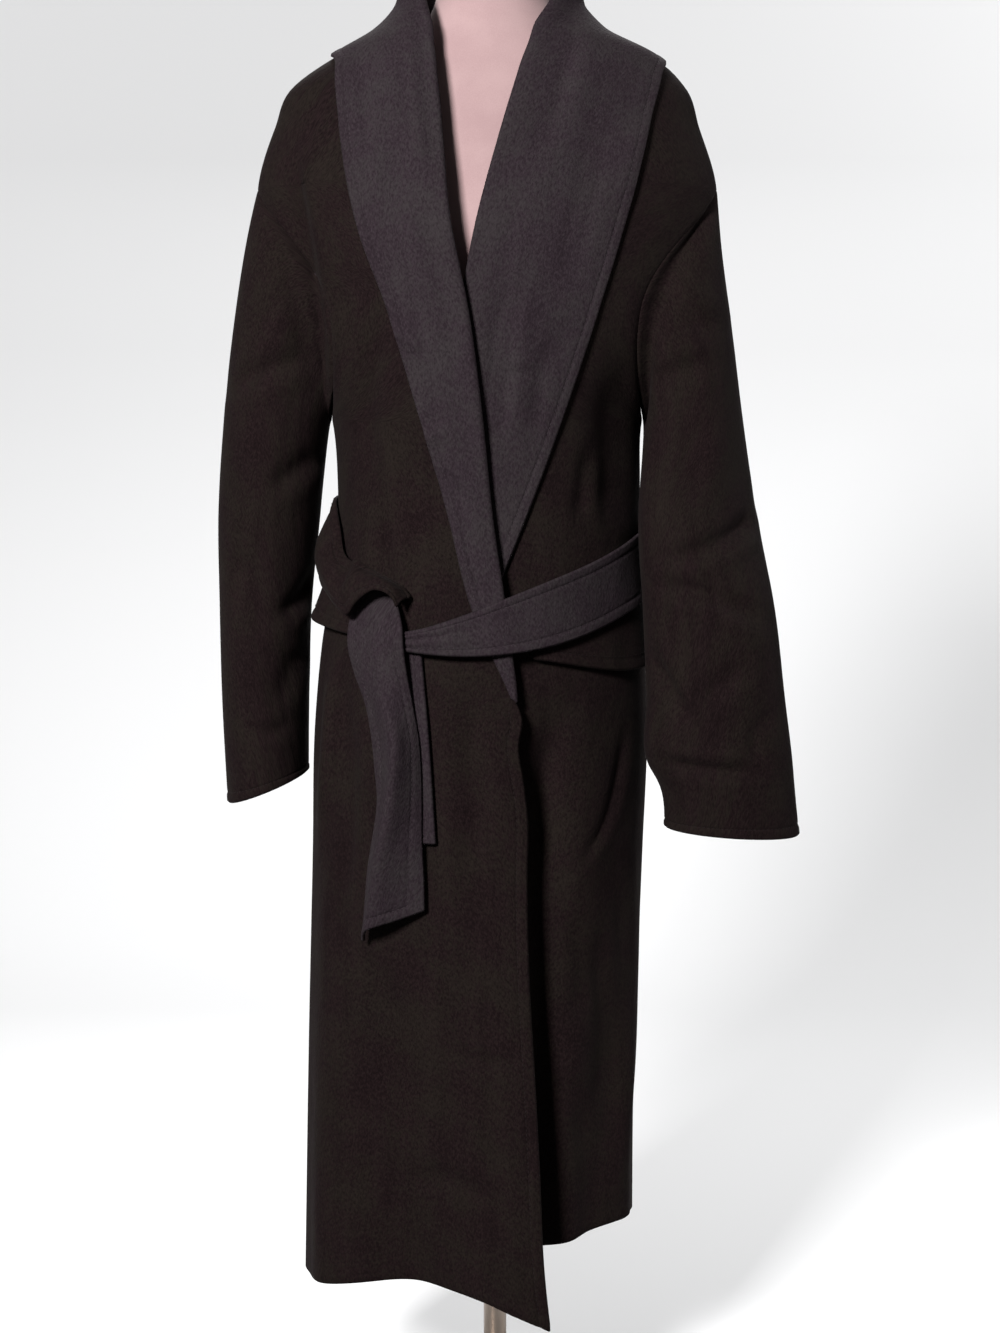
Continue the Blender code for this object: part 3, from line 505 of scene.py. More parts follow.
def hem_height(hem, turn, height):
    """Row heights moved so that the lowest row follows the hem."""
    low = read_table(hem, turn)[0]
    moved = HEM_ZONE_TOP - (HEM_ZONE_TOP - height) * (HEM_ZONE_TOP - low) / (HEM_ZONE_TOP - HEM_LEVEL)
    return np.where(height >= HEM_ZONE_TOP, height, moved)


def armhole_turn(height, depth):
    """How far the armhole cuts in from the side at a height, in degrees."""
    part = np.clip((height - ARMPIT_HEIGHT) / (SHOULDER_POINT - ARMPIT_HEIGHT), 0.0, 1.0)
    return depth * np.abs(np.sin(math.pi * part)) ** ARMHOLE_SQUARENESS


def stroke_relief(across, up, strokes):
    """Sum of soft troughs and ridges drawn as strokes; each trough throws up a low ridge on one side."""
    total = np.zeros(np.broadcast(across, up).shape)
    for half_width, depth, path in strokes:
        table = np.column_stack([np.arange(len(path)), np.array(path)])
        line = read_table(table, np.linspace(0.0, len(path) - 1.0, 13)).T
        nearest = np.full(total.shape, 1e9)
        share = np.zeros(total.shape)
        hand = np.zeros(total.shape)
        for index, (start, end) in enumerate(zip(line, line[1:])):
            run = end - start
            part = ((across - start[0]) * run[0] + (up - start[1]) * run[1]) / (run @ run)
            part = np.clip(part, 0.0, 1.0)
            off_x, off_up = across - start[0] - part * run[0], up - start[1] - part * run[1]
            gap = np.hypot(off_x, off_up)
            closer = gap < nearest
            nearest = np.where(closer, gap, nearest)
            share = np.where(closer, (index + part) / 12.0, share)
            hand = np.where(closer, np.sign(run[0] * off_up - run[1] * off_x), hand)
        fade = ease(share / 0.3) * ease((1.0 - share) / 0.3) * 0.85 + 0.15
        trough = np.exp(-((nearest / half_width) ** 2))
        ridge = np.exp(-((nearest * hand / half_width - 1.7) ** 2))
        total = total + depth * fade * (trough - 0.35 * ridge)
    return total


def panel_rows():
    """Row heights of a panel, closer together at the armhole."""
    swing = (1.0 - np.cos(np.linspace(0.0, math.pi, 47))) / 2.0
    return np.concatenate([
        np.linspace(HEM_LEVEL, BREAK_HEIGHT, 100, endpoint=False),
        np.linspace(BREAK_HEIGHT, ARMPIT_HEIGHT, 56, endpoint=False),
        (ARMPIT_HEIGHT + swing * (SHOULDER_POINT - ARMPIT_HEIGHT))[:-1],
        np.linspace(SHOULDER_POINT, NECK_SEAM, 36),
    ])


def ruled_columns(width, near_start, near_end, count):
    """Distances across rows of given widths, with set lines near the two edges and even ones between."""
    shrink = np.minimum(width / 0.06, 1.0)[:, None]
    start = np.array(near_start)[None, :] * shrink
    end = width[:, None] - np.array(near_end[::-1])[None, :] * shrink
    share = np.linspace(0.0, 1.0, count + 2)[None, 1:-1]
    middle = start[:, -1:] + (end[:, :1] - start[:, -1:]) * share
    return np.concatenate([start, middle, end], axis=1)


# Lines beside a plain seam, and beside an edge that is turned in and stitched 9 mm from the edge
SEAM_LINES = (0.0, 0.0010, 0.0028, 0.0056)
STITCH_INSET = 0.009
EDGE_LINES = (0.0, 0.0006, 0.0018, 0.0036, 0.0056, 0.0072, 0.0082, 0.0090, 0.0098, 0.0108, 0.0124, 0.0152)


def seam_dip(distance):
    """Dip of the cloth towards a sewn seam."""
    return -0.0011 * np.exp(-((distance / 0.0035) ** 2))


def stitched_wall(distance):
    """Wall of cloth near a turned-in edge: full at the edge and drawn tight at the stitching."""
    full = 0.0012 * ease((STITCH_INSET - 0.0008 - distance) / 0.0035)
    tight = -0.0013 * np.exp(-(((distance - STITCH_INSET) / 0.0012) ** 2))
    return WALL + full + tight


def cloth_shell(name, middle, wall, outer_face, inner_face, toward, closed=False):
    """Closed wall round a middle surface given as a grid of points, with a rounded rim.

    toward is a grid of directions that the outer face looks to, or one direction. A closed grid wraps
    round in its columns. Returns the object and the grid of the outer face's points."""
    rows, columns, _ = middle.shape
    if closed:
        wide = np.concatenate([middle[:, -1:], middle, middle[:, :1]], axis=1)
        across = np.gradient(wide, axis=1)[:, 1:-1]
    else:
        across = np.gradient(middle, axis=1)
    up = np.gradient(middle, axis=0)
    out = unit(np.cross(across, up))
    hand = 1.0 if float((out * toward).sum()) > 0.0 else -1.0
    out = out * hand
    half = (np.broadcast_to(wall, (rows, columns)) / 2.0)[..., None]
    outer, inner = middle + out * half, middle - out * half

    run = np.zeros((rows, columns))
    run[:, 1:] = np.cumsum(np.linalg.norm(np.diff(middle, axis=1), axis=-1), axis=1)
    rise = np.zeros((rows, columns))
    rise[1:] = np.cumsum(np.linalg.norm(np.diff(middle, axis=0), axis=-1), axis=0)
    chart = np.stack([run, rise], axis=-1).reshape(-1, 2)

    number = np.arange(rows * columns).reshape(rows, columns)
    next_column = np.roll(number, -1, axis=1) if closed else number[:, 1:]
    this_column = number if closed else number[:, :-1]
    quads = np.stack([this_column[:-1], next_column[:-1], next_column[1:], this_column[1:]], axis=-1)
    quads = quads.reshape(-1, 4)
    count = rows * columns
    if hand > 0.0:
        outer_quads, inner_quads = quads, quads[:, ::-1] + count
    else:
        outer_quads, inner_quads = quads[:, ::-1], quads + count

    if closed:
        loops = [(number[0], -up[0]), (number[-1][::-1], up[-1][::-1])]
    else:
        ring = np.concatenate([number[0], number[1:, -1], number[-1, -2::-1], number[-2:0:-1, 0]])
        spread = np.zeros_like(middle)
        spread[0] -= unit(up[0])
        spread[-1] += unit(up[-1])
        spread[:, 0] -= unit(across[:, 0])
        spread[:, -1] += unit(across[:, -1])
        loops = [(ring, spread.reshape(-1, 3)[ring])]
    rims, rim_chart, rim_quads, rim_slots = [], [], [], []
    total = 2 * count
    for ring, away in loops:
        flat_out = out.reshape(-1, 3)[ring]
        away = unit(away - flat_out * (away * flat_out).sum(axis=-1, keepdims=True))
        reach = half.reshape(-1, 1)[ring]
        rims.append(middle.reshape(-1, 3)[ring] + away * reach)
        rim_chart.append(chart[ring])
        rim = np.arange(total, total + len(ring))
        total += len(ring)
        after, rim_after = np.roll(ring, -1), np.roll(rim, -1)
        first = np.stack([after, ring, rim, rim_after], axis=-1)
        second = np.stack([rim_after, rim, ring + count, after + count], axis=-1)
        if hand < 0.0:
            first, second = first[:, ::-1], second[:, ::-1]
        rim_quads += [first, second]
        rim_slots += [np.zeros(len(ring)), np.ones(len(ring))]
    points = np.concatenate([outer.reshape(-1, 3), inner.reshape(-1, 3)] + rims)
    points[:, 0] += COAT_SHIFT
    faces = np.concatenate([outer_quads, inner_quads] + rim_quads)
    slots = np.concatenate([np.zeros(len(quads)), np.ones(len(quads))] + rim_slots).astype(np.int32)
    charts = np.concatenate([chart, chart] + rim_chart)
    made = smooth_mesh(name, points, faces.tolist(), [outer_face, inner_face], slots, charts)
    return made, outer + np.array([COAT_SHIFT, 0.0, 0.0])


def wool_face(name, deep, light, fleck_turn, cast):
    """One face of the brushed wool: short nap in small flecks, clouded with a reddish and a greenish cast."""
    material, tree, shader = new_finish(name)
    spot = tree.node("ShaderNodeUVMap", {"uv_map": "cloth"}, {})
    nap = tree.noise(tree.stretched(spot, (620.0, 330.0, 1.0), fleck_turn), 1.0, 2.0, 0.55)
    fleck = tree.noise(tree.stretched(spot, (300.0, 190.0, 1.0), -fleck_turn), 1.0, 2.0, 0.6)
    cloud = tree.noise(spot, 17.0, 3.0, 0.6)
    slack = tree.noise(tree.stretched(spot, (30.0, 22.0, 1.0), 25.0), 1.0, 2.0, 0.45)
    brushed = tree.noise(tree.stretched(spot, (70.0, 9.0, 1.0)), 1.0, 2.0)
    tone = (nap * 0.40 + fleck * 0.28 + cloud * 0.22 + brushed * 0.10).band(0.38, 0.62)
    tint = (cloud * 0.6 + fleck * 0.4).band(0.40, 0.60)
    reddish = (1.0 + 0.09 * cast, 1.0 - 0.06 * cast, 1.0 + 0.03 * cast, 1.0)
    greenish = (1.0 - 0.06 * cast, 1.0 + 0.04 * cast, 1.0 - 0.10 * cast, 1.0)
    warm = tree.blend(tint, reddish, greenish)
    plain = tree.blend(tone, (*deep, 1.0), (*light, 1.0))
    multiply = {"data_type": "RGBA", "blend_type": "MULTIPLY"}
    colour = tree.node("ShaderNodeMix", multiply, {0: 1.0, 6: plain, 7: warm}, 2)
    feed(
        tree, shader,
        Base_Color=colour,
        Roughness=0.80 + nap * 0.25,
        Sheen_Weight=0.012,
        Sheen_Roughness=0.45,
        Sheen_Tint=(1.0, 0.93, 0.93, 1.0),
        Specular_IOR_Level=0.04,
        Normal=(nap * 0.7 + fleck * 0.9 + slack * 3.2).relief(0.6, 0.0011),
    )
    return material


brown_wool = wool_face("brown_black_wool", (0.0062, 0.0041, 0.0040), (0.0168, 0.0110, 0.0109), 18.0, 1.0)
plum_wool = wool_face("plum_grey_wool", (0.0170, 0.0126, 0.0150), (0.0358, 0.0274, 0.0322), 32.0, 0.55)


def row_widths(start, end, height):
    """Widths of rows in metres between two turns."""
    share = np.linspace(0.0, 1.0, 17)[None, :]
    line = body_point(start[:, None] + (end - start)[:, None] * share, height[:, None], 0.0)
    return np.linalg.norm(np.diff(line, axis=1), axis=-1).sum(axis=1)


panel_height = panel_rows()
back_cut = SEAM_TURN + armhole_turn(panel_height, ARMHOLE_DEPTH_BACK)
back_start, back_end = 90.0 + back_cut, 270.0 - back_cut
back_width = row_widths(back_start, back_end, panel_height)
back_run = ruled_columns(back_width, SEAM_LINES, SEAM_LINES, 96)
back_turn = back_start[:, None] + (back_end - back_start)[:, None] * back_run / back_width[:, None]
back_height = hem_height(HEM_BACK, back_turn, panel_height[:, None])
back_seam = np.minimum(back_run, back_width[:, None] - back_run)
back_lift = stroke_relief(body_section(back_turn, back_height)[..., 0], back_height, BACK_CREASES)
back_lift = back_lift * ease(back_seam / CREASE_FADE) + seam_dip(back_seam) - WALL / 2.0
back_middle = body_point(back_turn, back_height, back_lift)
back_panel, _ = cloth_shell(
    "wool_back", back_middle, WALL, brown_wool, plum_wool, body_normal(back_turn, back_height))
fit(back_panel, "back")

# Fronts of the coat: two long panels sewn to the back. The wearer's right front laps over the left one, its
# free edge turned in and stitched. Each runs up to its roll line, where the collar carries on.
LAP_LIFT = 0.0135
LAP_FULL_BELOW = 1.20
LAP_NONE_ABOVE = 1.34
EDGE_FLARE = 0.020
UNDER_HOLLOW = 0.019
HEM_OVER = ((-90.0, 0.155), (-60.0, 0.166), (-30.0, 0.182), (-10.0, 0.181), (8.0, 0.165), (26.0, 0.140))
HEM_UNDER = ((-26.0, 0.212), (18.0, 0.217), (40.0, 0.223), (62.0, 0.230), (90.0, 0.219))
EDGE_OVER = (
    (0.140, 0.0500), (0.200, 0.0443), (0.321, 0.0400), (0.412, 0.0369), (0.500, 0.0337), (0.602, 0.0328),
    (0.660, 0.0335), (0.695, 0.0298), (0.731, 0.0252), (0.757, 0.0284), (0.775, 0.0225),
)
EDGE_UNDER = ((0.212, -0.060), (0.775, -0.058))
# Lapels from the break up: roll line x and height, outer edge x and height
LAPEL_OVER = (
    (0.0225, 0.775, 0.0199, 0.777),
    (0.0212, 0.790, 0.0152, 0.791),
    (0.0194, 0.8035, 0.0088, 0.804),
    (0.0166, 0.820, 0.0017, 0.821),
    (0.0095, 0.872, -0.0170, 0.872),
    (-0.0005, 0.945, -0.0340, 0.950),
    (-0.0100, 1.045, -0.0590, 1.045),
    (-0.0235, 1.150, -0.0905, 1.150),
    (-0.0405, 1.235, -0.1190, 1.225),
    (-0.0470, 1.300, -0.1350, 1.285),
    (-0.0525, 1.365, -0.1440, 1.345),
    (-0.0580, 1.435, -0.1440, 1.406),
)
LAPEL_UNDER = (
    (-0.0580, 0.775, -0.0500, 0.777),
    (-0.0560, 0.815, -0.0220, 0.815),
    (-0.0530, 0.872, 0.0020, 0.872),
    (-0.0470, 0.945, 0.0310, 0.945),
    (-0.0370, 1.045, 0.0670, 1.045),
    (-0.0232, 1.150, 0.1020, 1.150),
    (-0.0075, 1.235, 0.1260, 1.228),
    (0.0095, 1.300, 0.1430, 1.290),
    (0.0285, 1.365, 0.1570, 1.350),
    (0.0490, 1.435, 0.1680, 1.395),
)
COLLAR_NECK = (
    (62.0, 1.468, 97.0, 1.404),
    (92.0, 1.484, 114.0, 1.392),
    (132.0, 1.494, 142.0, 1.377),
    (180.0, 1.497, 180.0, 1.368),
)
# Fold of the right front beside the armhole: height and x of its line, how far the cloth drops behind it,
# how wide the drop and the hollow are, and the heights between which it lies
ARMPIT_FOLD = ((1.043, -0.1570), (1.130, -0.1560), (1.222, -0.1672), (1.275, -0.1760), (1.340, -0.1840))
ARMPIT_SINK = 0.028
SINK_DROP, SINK_FLAT, SINK_END = 0.010, 0.008, 0.058
SINK_LOW, SINK_HIGH = 1.045, 1.330
OVER_CREASES = (
    (0.0081, 0.0076, ((-0.152, 0.800), (-0.155, 0.760), (-0.160, 0.700), (-0.172, 0.600))),
    (0.0108, -0.0057, ((-0.135, 0.775), (-0.134, 0.677), (-0.147, 0.528))),
    (0.0126, -0.0061, ((-0.019, 0.785), (-0.013, 0.687), (-0.019, 0.578))),
    (0.0090, -0.0042, ((-0.062, 0.780), (-0.058, 0.700), (-0.052, 0.578))),
    (0.0144, -0.0042, ((-0.142, 0.538), (-0.108, 0.488), (-0.090, 0.440))),
    (0.0081, -0.0030, ((-0.040, 0.430), (0.000, 0.418), (0.034, 0.426))),
    (0.0108, -0.0034, ((-0.089, 0.284), (-0.039, 0.297), (0.010, 0.274))),
    (0.0126, -0.0042, ((-0.128, 0.390), (-0.122, 0.320), (-0.117, 0.250))),
    (0.0117, -0.0049, ((-0.099, 1.149), (-0.112, 1.064), (-0.107, 0.970))),
    (0.0108, -0.0026, ((-0.067, 0.959), (-0.056, 0.920), (-0.044, 0.880))),
    (0.0090, -0.0038, ((-0.090, 0.950), (-0.094, 0.905), (-0.086, 0.860))),
)
UNDER_CREASES = (
    (0.0016, -0.0008, ((0.122, 0.792), (0.110, 0.738), (0.088, 0.674), (0.066, 0.612))),
    (0.0054, -0.0041, ((0.137, 0.750), (0.128, 0.687), (0.114, 0.640), (0.086, 0.600))),
    (0.024, -0.0110, ((0.126, 1.110), (0.126, 1.010), (0.128, 0.930))),
    (0.0108, -0.0076, ((0.107, 0.545), (0.122, 0.432), (0.114, 0.320))),
    (0.0081, -0.0068, ((0.130, 0.600), (0.136, 0.472), (0.129, 0.370), (0.117, 0.270))),
    (0.0108, -0.0048, ((0.084, 0.573), (0.094, 0.500), (0.088, 0.430))),
    (0.0090, -0.0044, ((0.098, 1.020), (0.092, 0.980), (0.086, 0.940))),
    (0.0126, -0.0051, ((0.066, 0.760), (0.060, 0.680), (0.064, 0.590))),
    (0.0117, -0.0041, ((0.070, 0.400), (0.092, 0.360), (0.098, 0.300))),
)


def turn_at(x, height):
    """Turns on the front half at which the body surface has that x."""
    right, left, _, _ = read_table(BODY, height)
    return np.degrees(np.arcsin(np.clip(x / np.where(x > 0.0, left, right), -1.0, 1.0)))


def over_lift(turn, height):
    """Lift of the over front, which clears the under front and its lapel."""
    lap = 1.0 - ease((height - LAP_FULL_BELOW) / (LAP_NONE_ABOVE - LAP_FULL_BELOW))
    flare = EDGE_FLARE * ease((0.70 - height) / 0.5) * ease((turn + 8.0) / 26.0)
    return LAP_LIFT * lap * ease((turn + 78.0) / 52.0) + flare


def under_lift(turn, height):
    """Lift of the under front, which is hollow beside the over front's edge."""
    return -UNDER_HOLLOW * ease((0.80 - height) / 0.12) * np.exp(-(((turn - 20.0) / 11.0) ** 2))


def inner_turn(height, lapel, edge, side):
    """Turns of a front's inner edge: the free edge, then the roll line, then the neck seam."""
    top = lapel[-1][1]
    free = turn_at(read_table(edge, height)[0], height)
    roll = turn_at(read_table([(row[1], row[0]) for row in lapel], height)[0], height)
    last = turn_at(np.array(lapel[-1][0]), np.array(top))
    neck = last + (side * COLLAR_NECK[0][0] - last) * (height - top) / (NECK_SEAM - top)
    return np.where(height <= BREAK_HEIGHT, free, np.where(height <= top, roll, neck))


def armpit_sink(points, share):
    """Points moved back beside the fold of the right front, where the empty sleeve sinks in behind it."""
    height = points[..., 2]
    off = read_table(ARMPIT_FOLD, height)[0] - points[..., 0]
    rise = np.clip((SINK_END - off) / (SINK_END - SINK_FLAT), 0.0, 1.0) ** 2
    sink = ARMPIT_SINK * ease(off / SINK_DROP) * rise * share
    sink = sink * ease((SINK_HIGH - height) / 0.10) * ease((height - SINK_LOW) / 0.07)
    return points + sink[..., None] * np.array([0.0, 1.0, 0.0])


def front_panel(name, lapel, edge, hem, side, lift_at, creases):
    """One front from its side seam to its inner edge, and the line of its edge stitching."""
    start = side * (90.0 - SEAM_TURN - armhole_turn(panel_height, ARMHOLE_DEPTH_FRONT))
    end = inner_turn(panel_height, lapel, edge, side)
    width = row_widths(start, end, panel_height)
    run = ruled_columns(width, SEAM_LINES, EDGE_LINES, 56)
    turn = start[:, None] + (end - start)[:, None] * run / width[:, None]
    height = hem_height(hem, turn, panel_height[:, None])
    from_edge = width[:, None] - run
    free = ease((BREAK_HEIGHT + 0.01 - height) / 0.03)
    wall = WALL + (stitched_wall(from_edge) - WALL) * free
    relief = stroke_relief(body_section(turn, height)[..., 0], height, creases)
    lift = lift_at(turn, height) + relief * ease(run / CREASE_FADE) * ease(0.15 + from_edge / 0.05)
    middle = body_point(turn, height, lift + seam_dip(run) - WALL / 2.0)
    middle = armpit_sink(middle, 1.0) if side < 0.0 else middle
    panel, face = cloth_shell(name, middle, wall, brown_wool, plum_wool, body_normal(turn, height))
    below = panel_height < BREAK_HEIGHT - 0.01
    return panel, face[below][:, -1 - EDGE_LINES.index(STITCH_INSET)]


left_front, left_front_stitch = front_panel(
    "wool_front_left", LAPEL_UNDER, EDGE_UNDER, HEM_UNDER, 1.0, under_lift, UNDER_CREASES)
right_front, right_front_stitch = front_panel(
    "wool_front_right", LAPEL_OVER, EDGE_OVER, HEM_OVER, -1.0, over_lift, OVER_CREASES)
for panel, node in ((left_front, "front_left"), (right_front, "front_right")):
    fit(panel, node)

# Sleeves: two long wide tubes set into dropped armholes. Their cuffs are turned in and stitched, and the
# empty cloth breaks into slanting creases at the elbow and above the cuff.
# Height, x of the outer and the inner line, y of the front and the back, swing to the front in degrees
SLEEVE_RIGHT = (
    (0.640, -0.2742, -0.1905, -0.036, 0.088, 0.0),
    (0.765, -0.2789, -0.1885, -0.038, 0.086, 0.0),
    (0.859, -0.2796, -0.1845, -0.042, 0.084, 0.0),
    (0.947, -0.2793, -0.1750, -0.047, 0.083, 0.0),
    (1.044, -0.2719, -0.1665, -0.053, 0.082, 0.0),
    (1.136, -0.2605, -0.1640, -0.062, 0.082, 0.0),
    (1.206, -0.2494, -0.1640, -0.070, 0.082, 0.0),
    (1.274, -0.2345, -0.1640, -0.074, 0.082, 0.0),
)
SLEEVE_LEFT = (
    (0.620, 0.3120, 0.1763, -0.124, -0.024, 0.0),
    (0.685, 0.3045, 0.1684, -0.131, -0.025, 0.0),
    (0.703, 0.3027, 0.1585, -0.133, -0.025, 0.0),
    (0.767, 0.2941, 0.1562, -0.136, -0.024, 0.0),
    (0.857, 0.2835, 0.1520, -0.135, -0.017, 3.0),
    (0.946, 0.2700, 0.1470, -0.120, 0.014, 22.0),
    (1.044, 0.2565, 0.1570, -0.091, 0.062, 8.0),
    (1.136, 0.2440, 0.1580, -0.084, 0.076, 0.0),
    (1.206, 0.2340, 0.1580, -0.080, 0.080, 0.0),
    (1.274, 0.2295, 0.1580, -0.078, 0.082, 0.0),
)
CUFF_RIGHT_OUTER, CUFF_RIGHT_INNER = 0.650, 0.682
CUFF_LEFT_OUTER, CUFF_LEFT_INNER = 0.633, 0.641
SLEEVE_LENGTH = 0.60
SLEEVE_SET = 0.42
SLEEVE_EASE = 0.4
UNDER_ARM_RATE = 5.0
SLEEVE_GAP = 0.0006
SLEEVE_GAP_TURN = 0.22
# Hollow of the left sleeve beside the front of its armhole: depth, way from the seam, half-width
ARMPIT_DIP, ARMPIT_WAY, ARMPIT_WIDE = 0.012, 0.016, 0.015
SLEEVE_RIGHT_CREASES_FRONT = (
    (0.0108, -0.0072, ((-0.178, 1.106), (-0.222, 1.094), (-0.262, 1.074))),
    (0.0108, -0.0061, ((-0.171, 1.014), (-0.192, 0.997), (-0.226, 0.972))),
    (0.0099, -0.0076, ((-0.168, 0.892), (-0.193, 0.865), (-0.218, 0.842))),
    (0.0144, -0.0054, ((-0.254, 0.920), (-0.240, 0.870), (-0.229, 0.815))),
    (0.0117, -0.0050, ((-0.191, 0.814), (-0.204, 0.790), (-0.216, 0.752))),
    (0.0126, -0.0065, ((-0.205, 1.240), (-0.190, 1.163), (-0.178, 1.084))),
    (0.0081, -0.0036, ((-0.250, 0.735), (-0.226, 0.728), (-0.202, 0.738))),
)
SLEEVE_RIGHT_CREASES_BACK = (
    (0.0117, -0.0063, ((-0.178, 1.080), (-0.215, 1.060), (-0.256, 1.050))),
    (0.0108, -0.0060, ((-0.262, 0.965), (-0.228, 0.940), (-0.190, 0.936))),
    (0.0099, -0.0057, ((-0.268, 0.905), (-0.230, 0.895), (-0.196, 0.908))),
    (0.0126, -0.0045, ((-0.250, 0.835), (-0.226, 0.800), (-0.210, 0.760))),
    (0.0090, -0.0036, ((-0.256, 0.725), (-0.230, 0.715), (-0.206, 0.722))),
)
SLEEVE_LEFT_CREASES_FRONT = (
    (0.0090, -0.0083, ((0.278, 0.958), (0.225, 0.926), (0.163, 0.908))),
    (0.0090, -0.0076, ((0.274, 0.846), (0.217, 0.874), (0.157, 0.889))),
    (0.0081, -0.0065, ((0.156, 0.824), (0.178, 0.780), (0.199, 0.747))),
    (0.0072, -0.0068, ((0.163, 0.712), (0.209, 0.706), (0.264, 0.702))),
    (0.0099, -0.0054, ((0.148, 1.078), (0.186, 1.093), (0.222, 1.100))),
    (0.0135, -0.0043, ((0.206, 1.055), (0.198, 1.000), (0.195, 0.955))),
    (0.0117, -0.0043, ((0.250, 0.812), (0.228, 0.792), (0.206, 0.776))),
    (0.0108, -0.0054, ((0.156, 1.165), (0.195, 1.143), (0.232, 1.132))),
    (0.0090, -0.0032, ((0.280, 0.765), (0.262, 0.740), (0.258, 0.705))),
)
SLEEVE_LEFT_CREASES_BACK = (
    (0.0117, -0.0060, ((0.168, 1.085), (0.205, 1.064), (0.246, 1.056))),
    (0.0108, -0.0063, ((0.266, 0.965), (0.225, 0.944), (0.182, 0.948))),
    (0.0099, -0.0054, ((0.276, 0.895), (0.232, 0.884), (0.190, 0.900))),
    (0.0117, -0.0042, ((0.270, 0.820), (0.240, 0.790), (0.222, 0.750))),
    (0.0090, -0.0036, ((0.290, 0.700), (0.250, 0.690), (0.210, 0.700))),
)


def armhole_point(u, side, depth):
    """Points on an armhole edge: u from the armpit by the front to the shoulder and by the back."""
    part = (1.0 - np.cos(2.0 * math.pi * u)) / 2.0
    height = ARMPIT_HEIGHT + part * (SHOULDER_POINT - ARMPIT_HEIGHT)
    cut = armhole_turn(height, np.where(u < 0.5, ARMHOLE_DEPTH_FRONT, ARMHOLE_DEPTH_BACK)) - SLEEVE_GAP_TURN
    cut = np.maximum(cut, 0.0)
    turn = side * (90.0 - np.where(u < 0.5, cut, -cut))
    height = height + SLEEVE_GAP * (1.0 - 2.0 * part)
    under_arm = 1.0 - ease(UNDER_ARM_RATE * part)
    edge = body_point(turn, height, SLEEVE_GAP * under_arm)
    out = body_normal(turn, height)
    hole = body_point(np.array(side * 90.0), np.array((ARMPIT_HEIGHT + SHOULDER_POINT) / 2.0), 0.0)
    inward = hole - edge
    inward = unit(inward - out * (inward * out).sum(axis=-1, keepdims=True))
    swing = (math.pi * under_arm)[..., None]
    return edge + (inward * np.sin(swing) - out * np.cos(swing)) * (WALL * depth)


def sleeve_section(table, u, height, thin):
    """Points on a sleeve's level sections: u from the inner line by the front to the outer line."""
    outer, inner, front, back, swing = read_table(table, height)
    angle = 2.0 * math.pi * u
    half_wide, half_deep = (inner - outer) / 2.0, (back - front) / 2.0
    return np.stack([
        (inner + outer) / 2.0 + (half_wide - np.sign(half_wide) * thin) * np.cos(angle - np.radians(swing)),
        (front + back) / 2.0 - (half_deep - thin) * np.sin(angle),
        height,
    ], axis=-1)


def sleeve(name, table, side, cuff_outer, cuff_inner, front_creases, back_creases):
    """One sleeve as a tube from the armhole to the cuff, and the line of its cuff stitching."""
    around = np.linspace(0.0, 1.0, 112, endpoint=False)[None, :]
    start = armhole_point(around, side, 0.5)
    cuff = cuff_inner + (cuff_outer - cuff_inner) * (1.0 - np.cos(2.0 * math.pi * around)) / 2.0
    down = np.concatenate([
        np.array([0.0, 0.0012, 0.0032, 0.0062]) / SLEEVE_LENGTH,
        np.linspace(0.010 / SLEEVE_LENGTH, 1.0 - 0.020 / SLEEVE_LENGTH, 104),
        1.0 - np.array(EDGE_LINES[::-1]) / SLEEVE_LENGTH,
    ])[:, None]
    # Shares of the length, turned into the uneven rate at which the sleeve leaves the seam
    bent = 1.0 - SLEEVE_EASE
    rate = (-SLEEVE_EASE + np.sqrt(SLEEVE_EASE ** 2 + 4.0 * bent * down)) / (2.0 * bent)
    height = start[..., 2] + (cuff - start[..., 2]) * down
    hang = sleeve_section(table, np.broadcast_to(around, height.shape), height, WALL / 2.0)
    share = (1.0 - np.maximum(1.0 - rate / SLEEVE_SET, 0.0) ** 2)[..., None]
    middle = start + (hang - start) * share
    centre = middle.mean(axis=1, keepdims=True)
    toward = unit((middle - centre) * np.array([1.0, 1.0, 0.0]))
    facing = np.sin(2.0 * math.pi * around)
    front = stroke_relief(middle[..., 0], middle[..., 2], front_creases) * ease(facing * 2.5)
    back = stroke_relief(middle[..., 0], middle[..., 2], back_creases) * ease(-facing * 2.5)
    from_cuff = (1.0 - down) * SLEEVE_LENGTH
    from_seam = down * SLEEVE_LENGTH
    dip = -ARMPIT_DIP * np.exp(-(((from_seam - ARMPIT_WAY) / ARMPIT_WIDE) ** 2)) * ease(from_seam / 0.007)
    dip = dip * ease((facing - 0.1) / 0.35) * ease((1.37 - start[..., 2]) / 0.10) * (side > 0.0)
    relief = (front + back) * ease(from_cuff / CREASE_FADE) * ease(down / 0.08) + seam_dip(from_seam) + dip
    middle = middle + toward * relief[..., None]
    middle = armpit_sink(middle, ease(facing / 0.35)) if side < 0.0 else middle
    wall = np.broadcast_to(stitched_wall(from_cuff), middle.shape[:2])
    made, face = cloth_shell(name, middle, wall, brown_wool, plum_wool, toward, closed=True)
    line = face[-1 - EDGE_LINES.index(STITCH_INSET)]
    return made, np.concatenate([line, line[:1]])


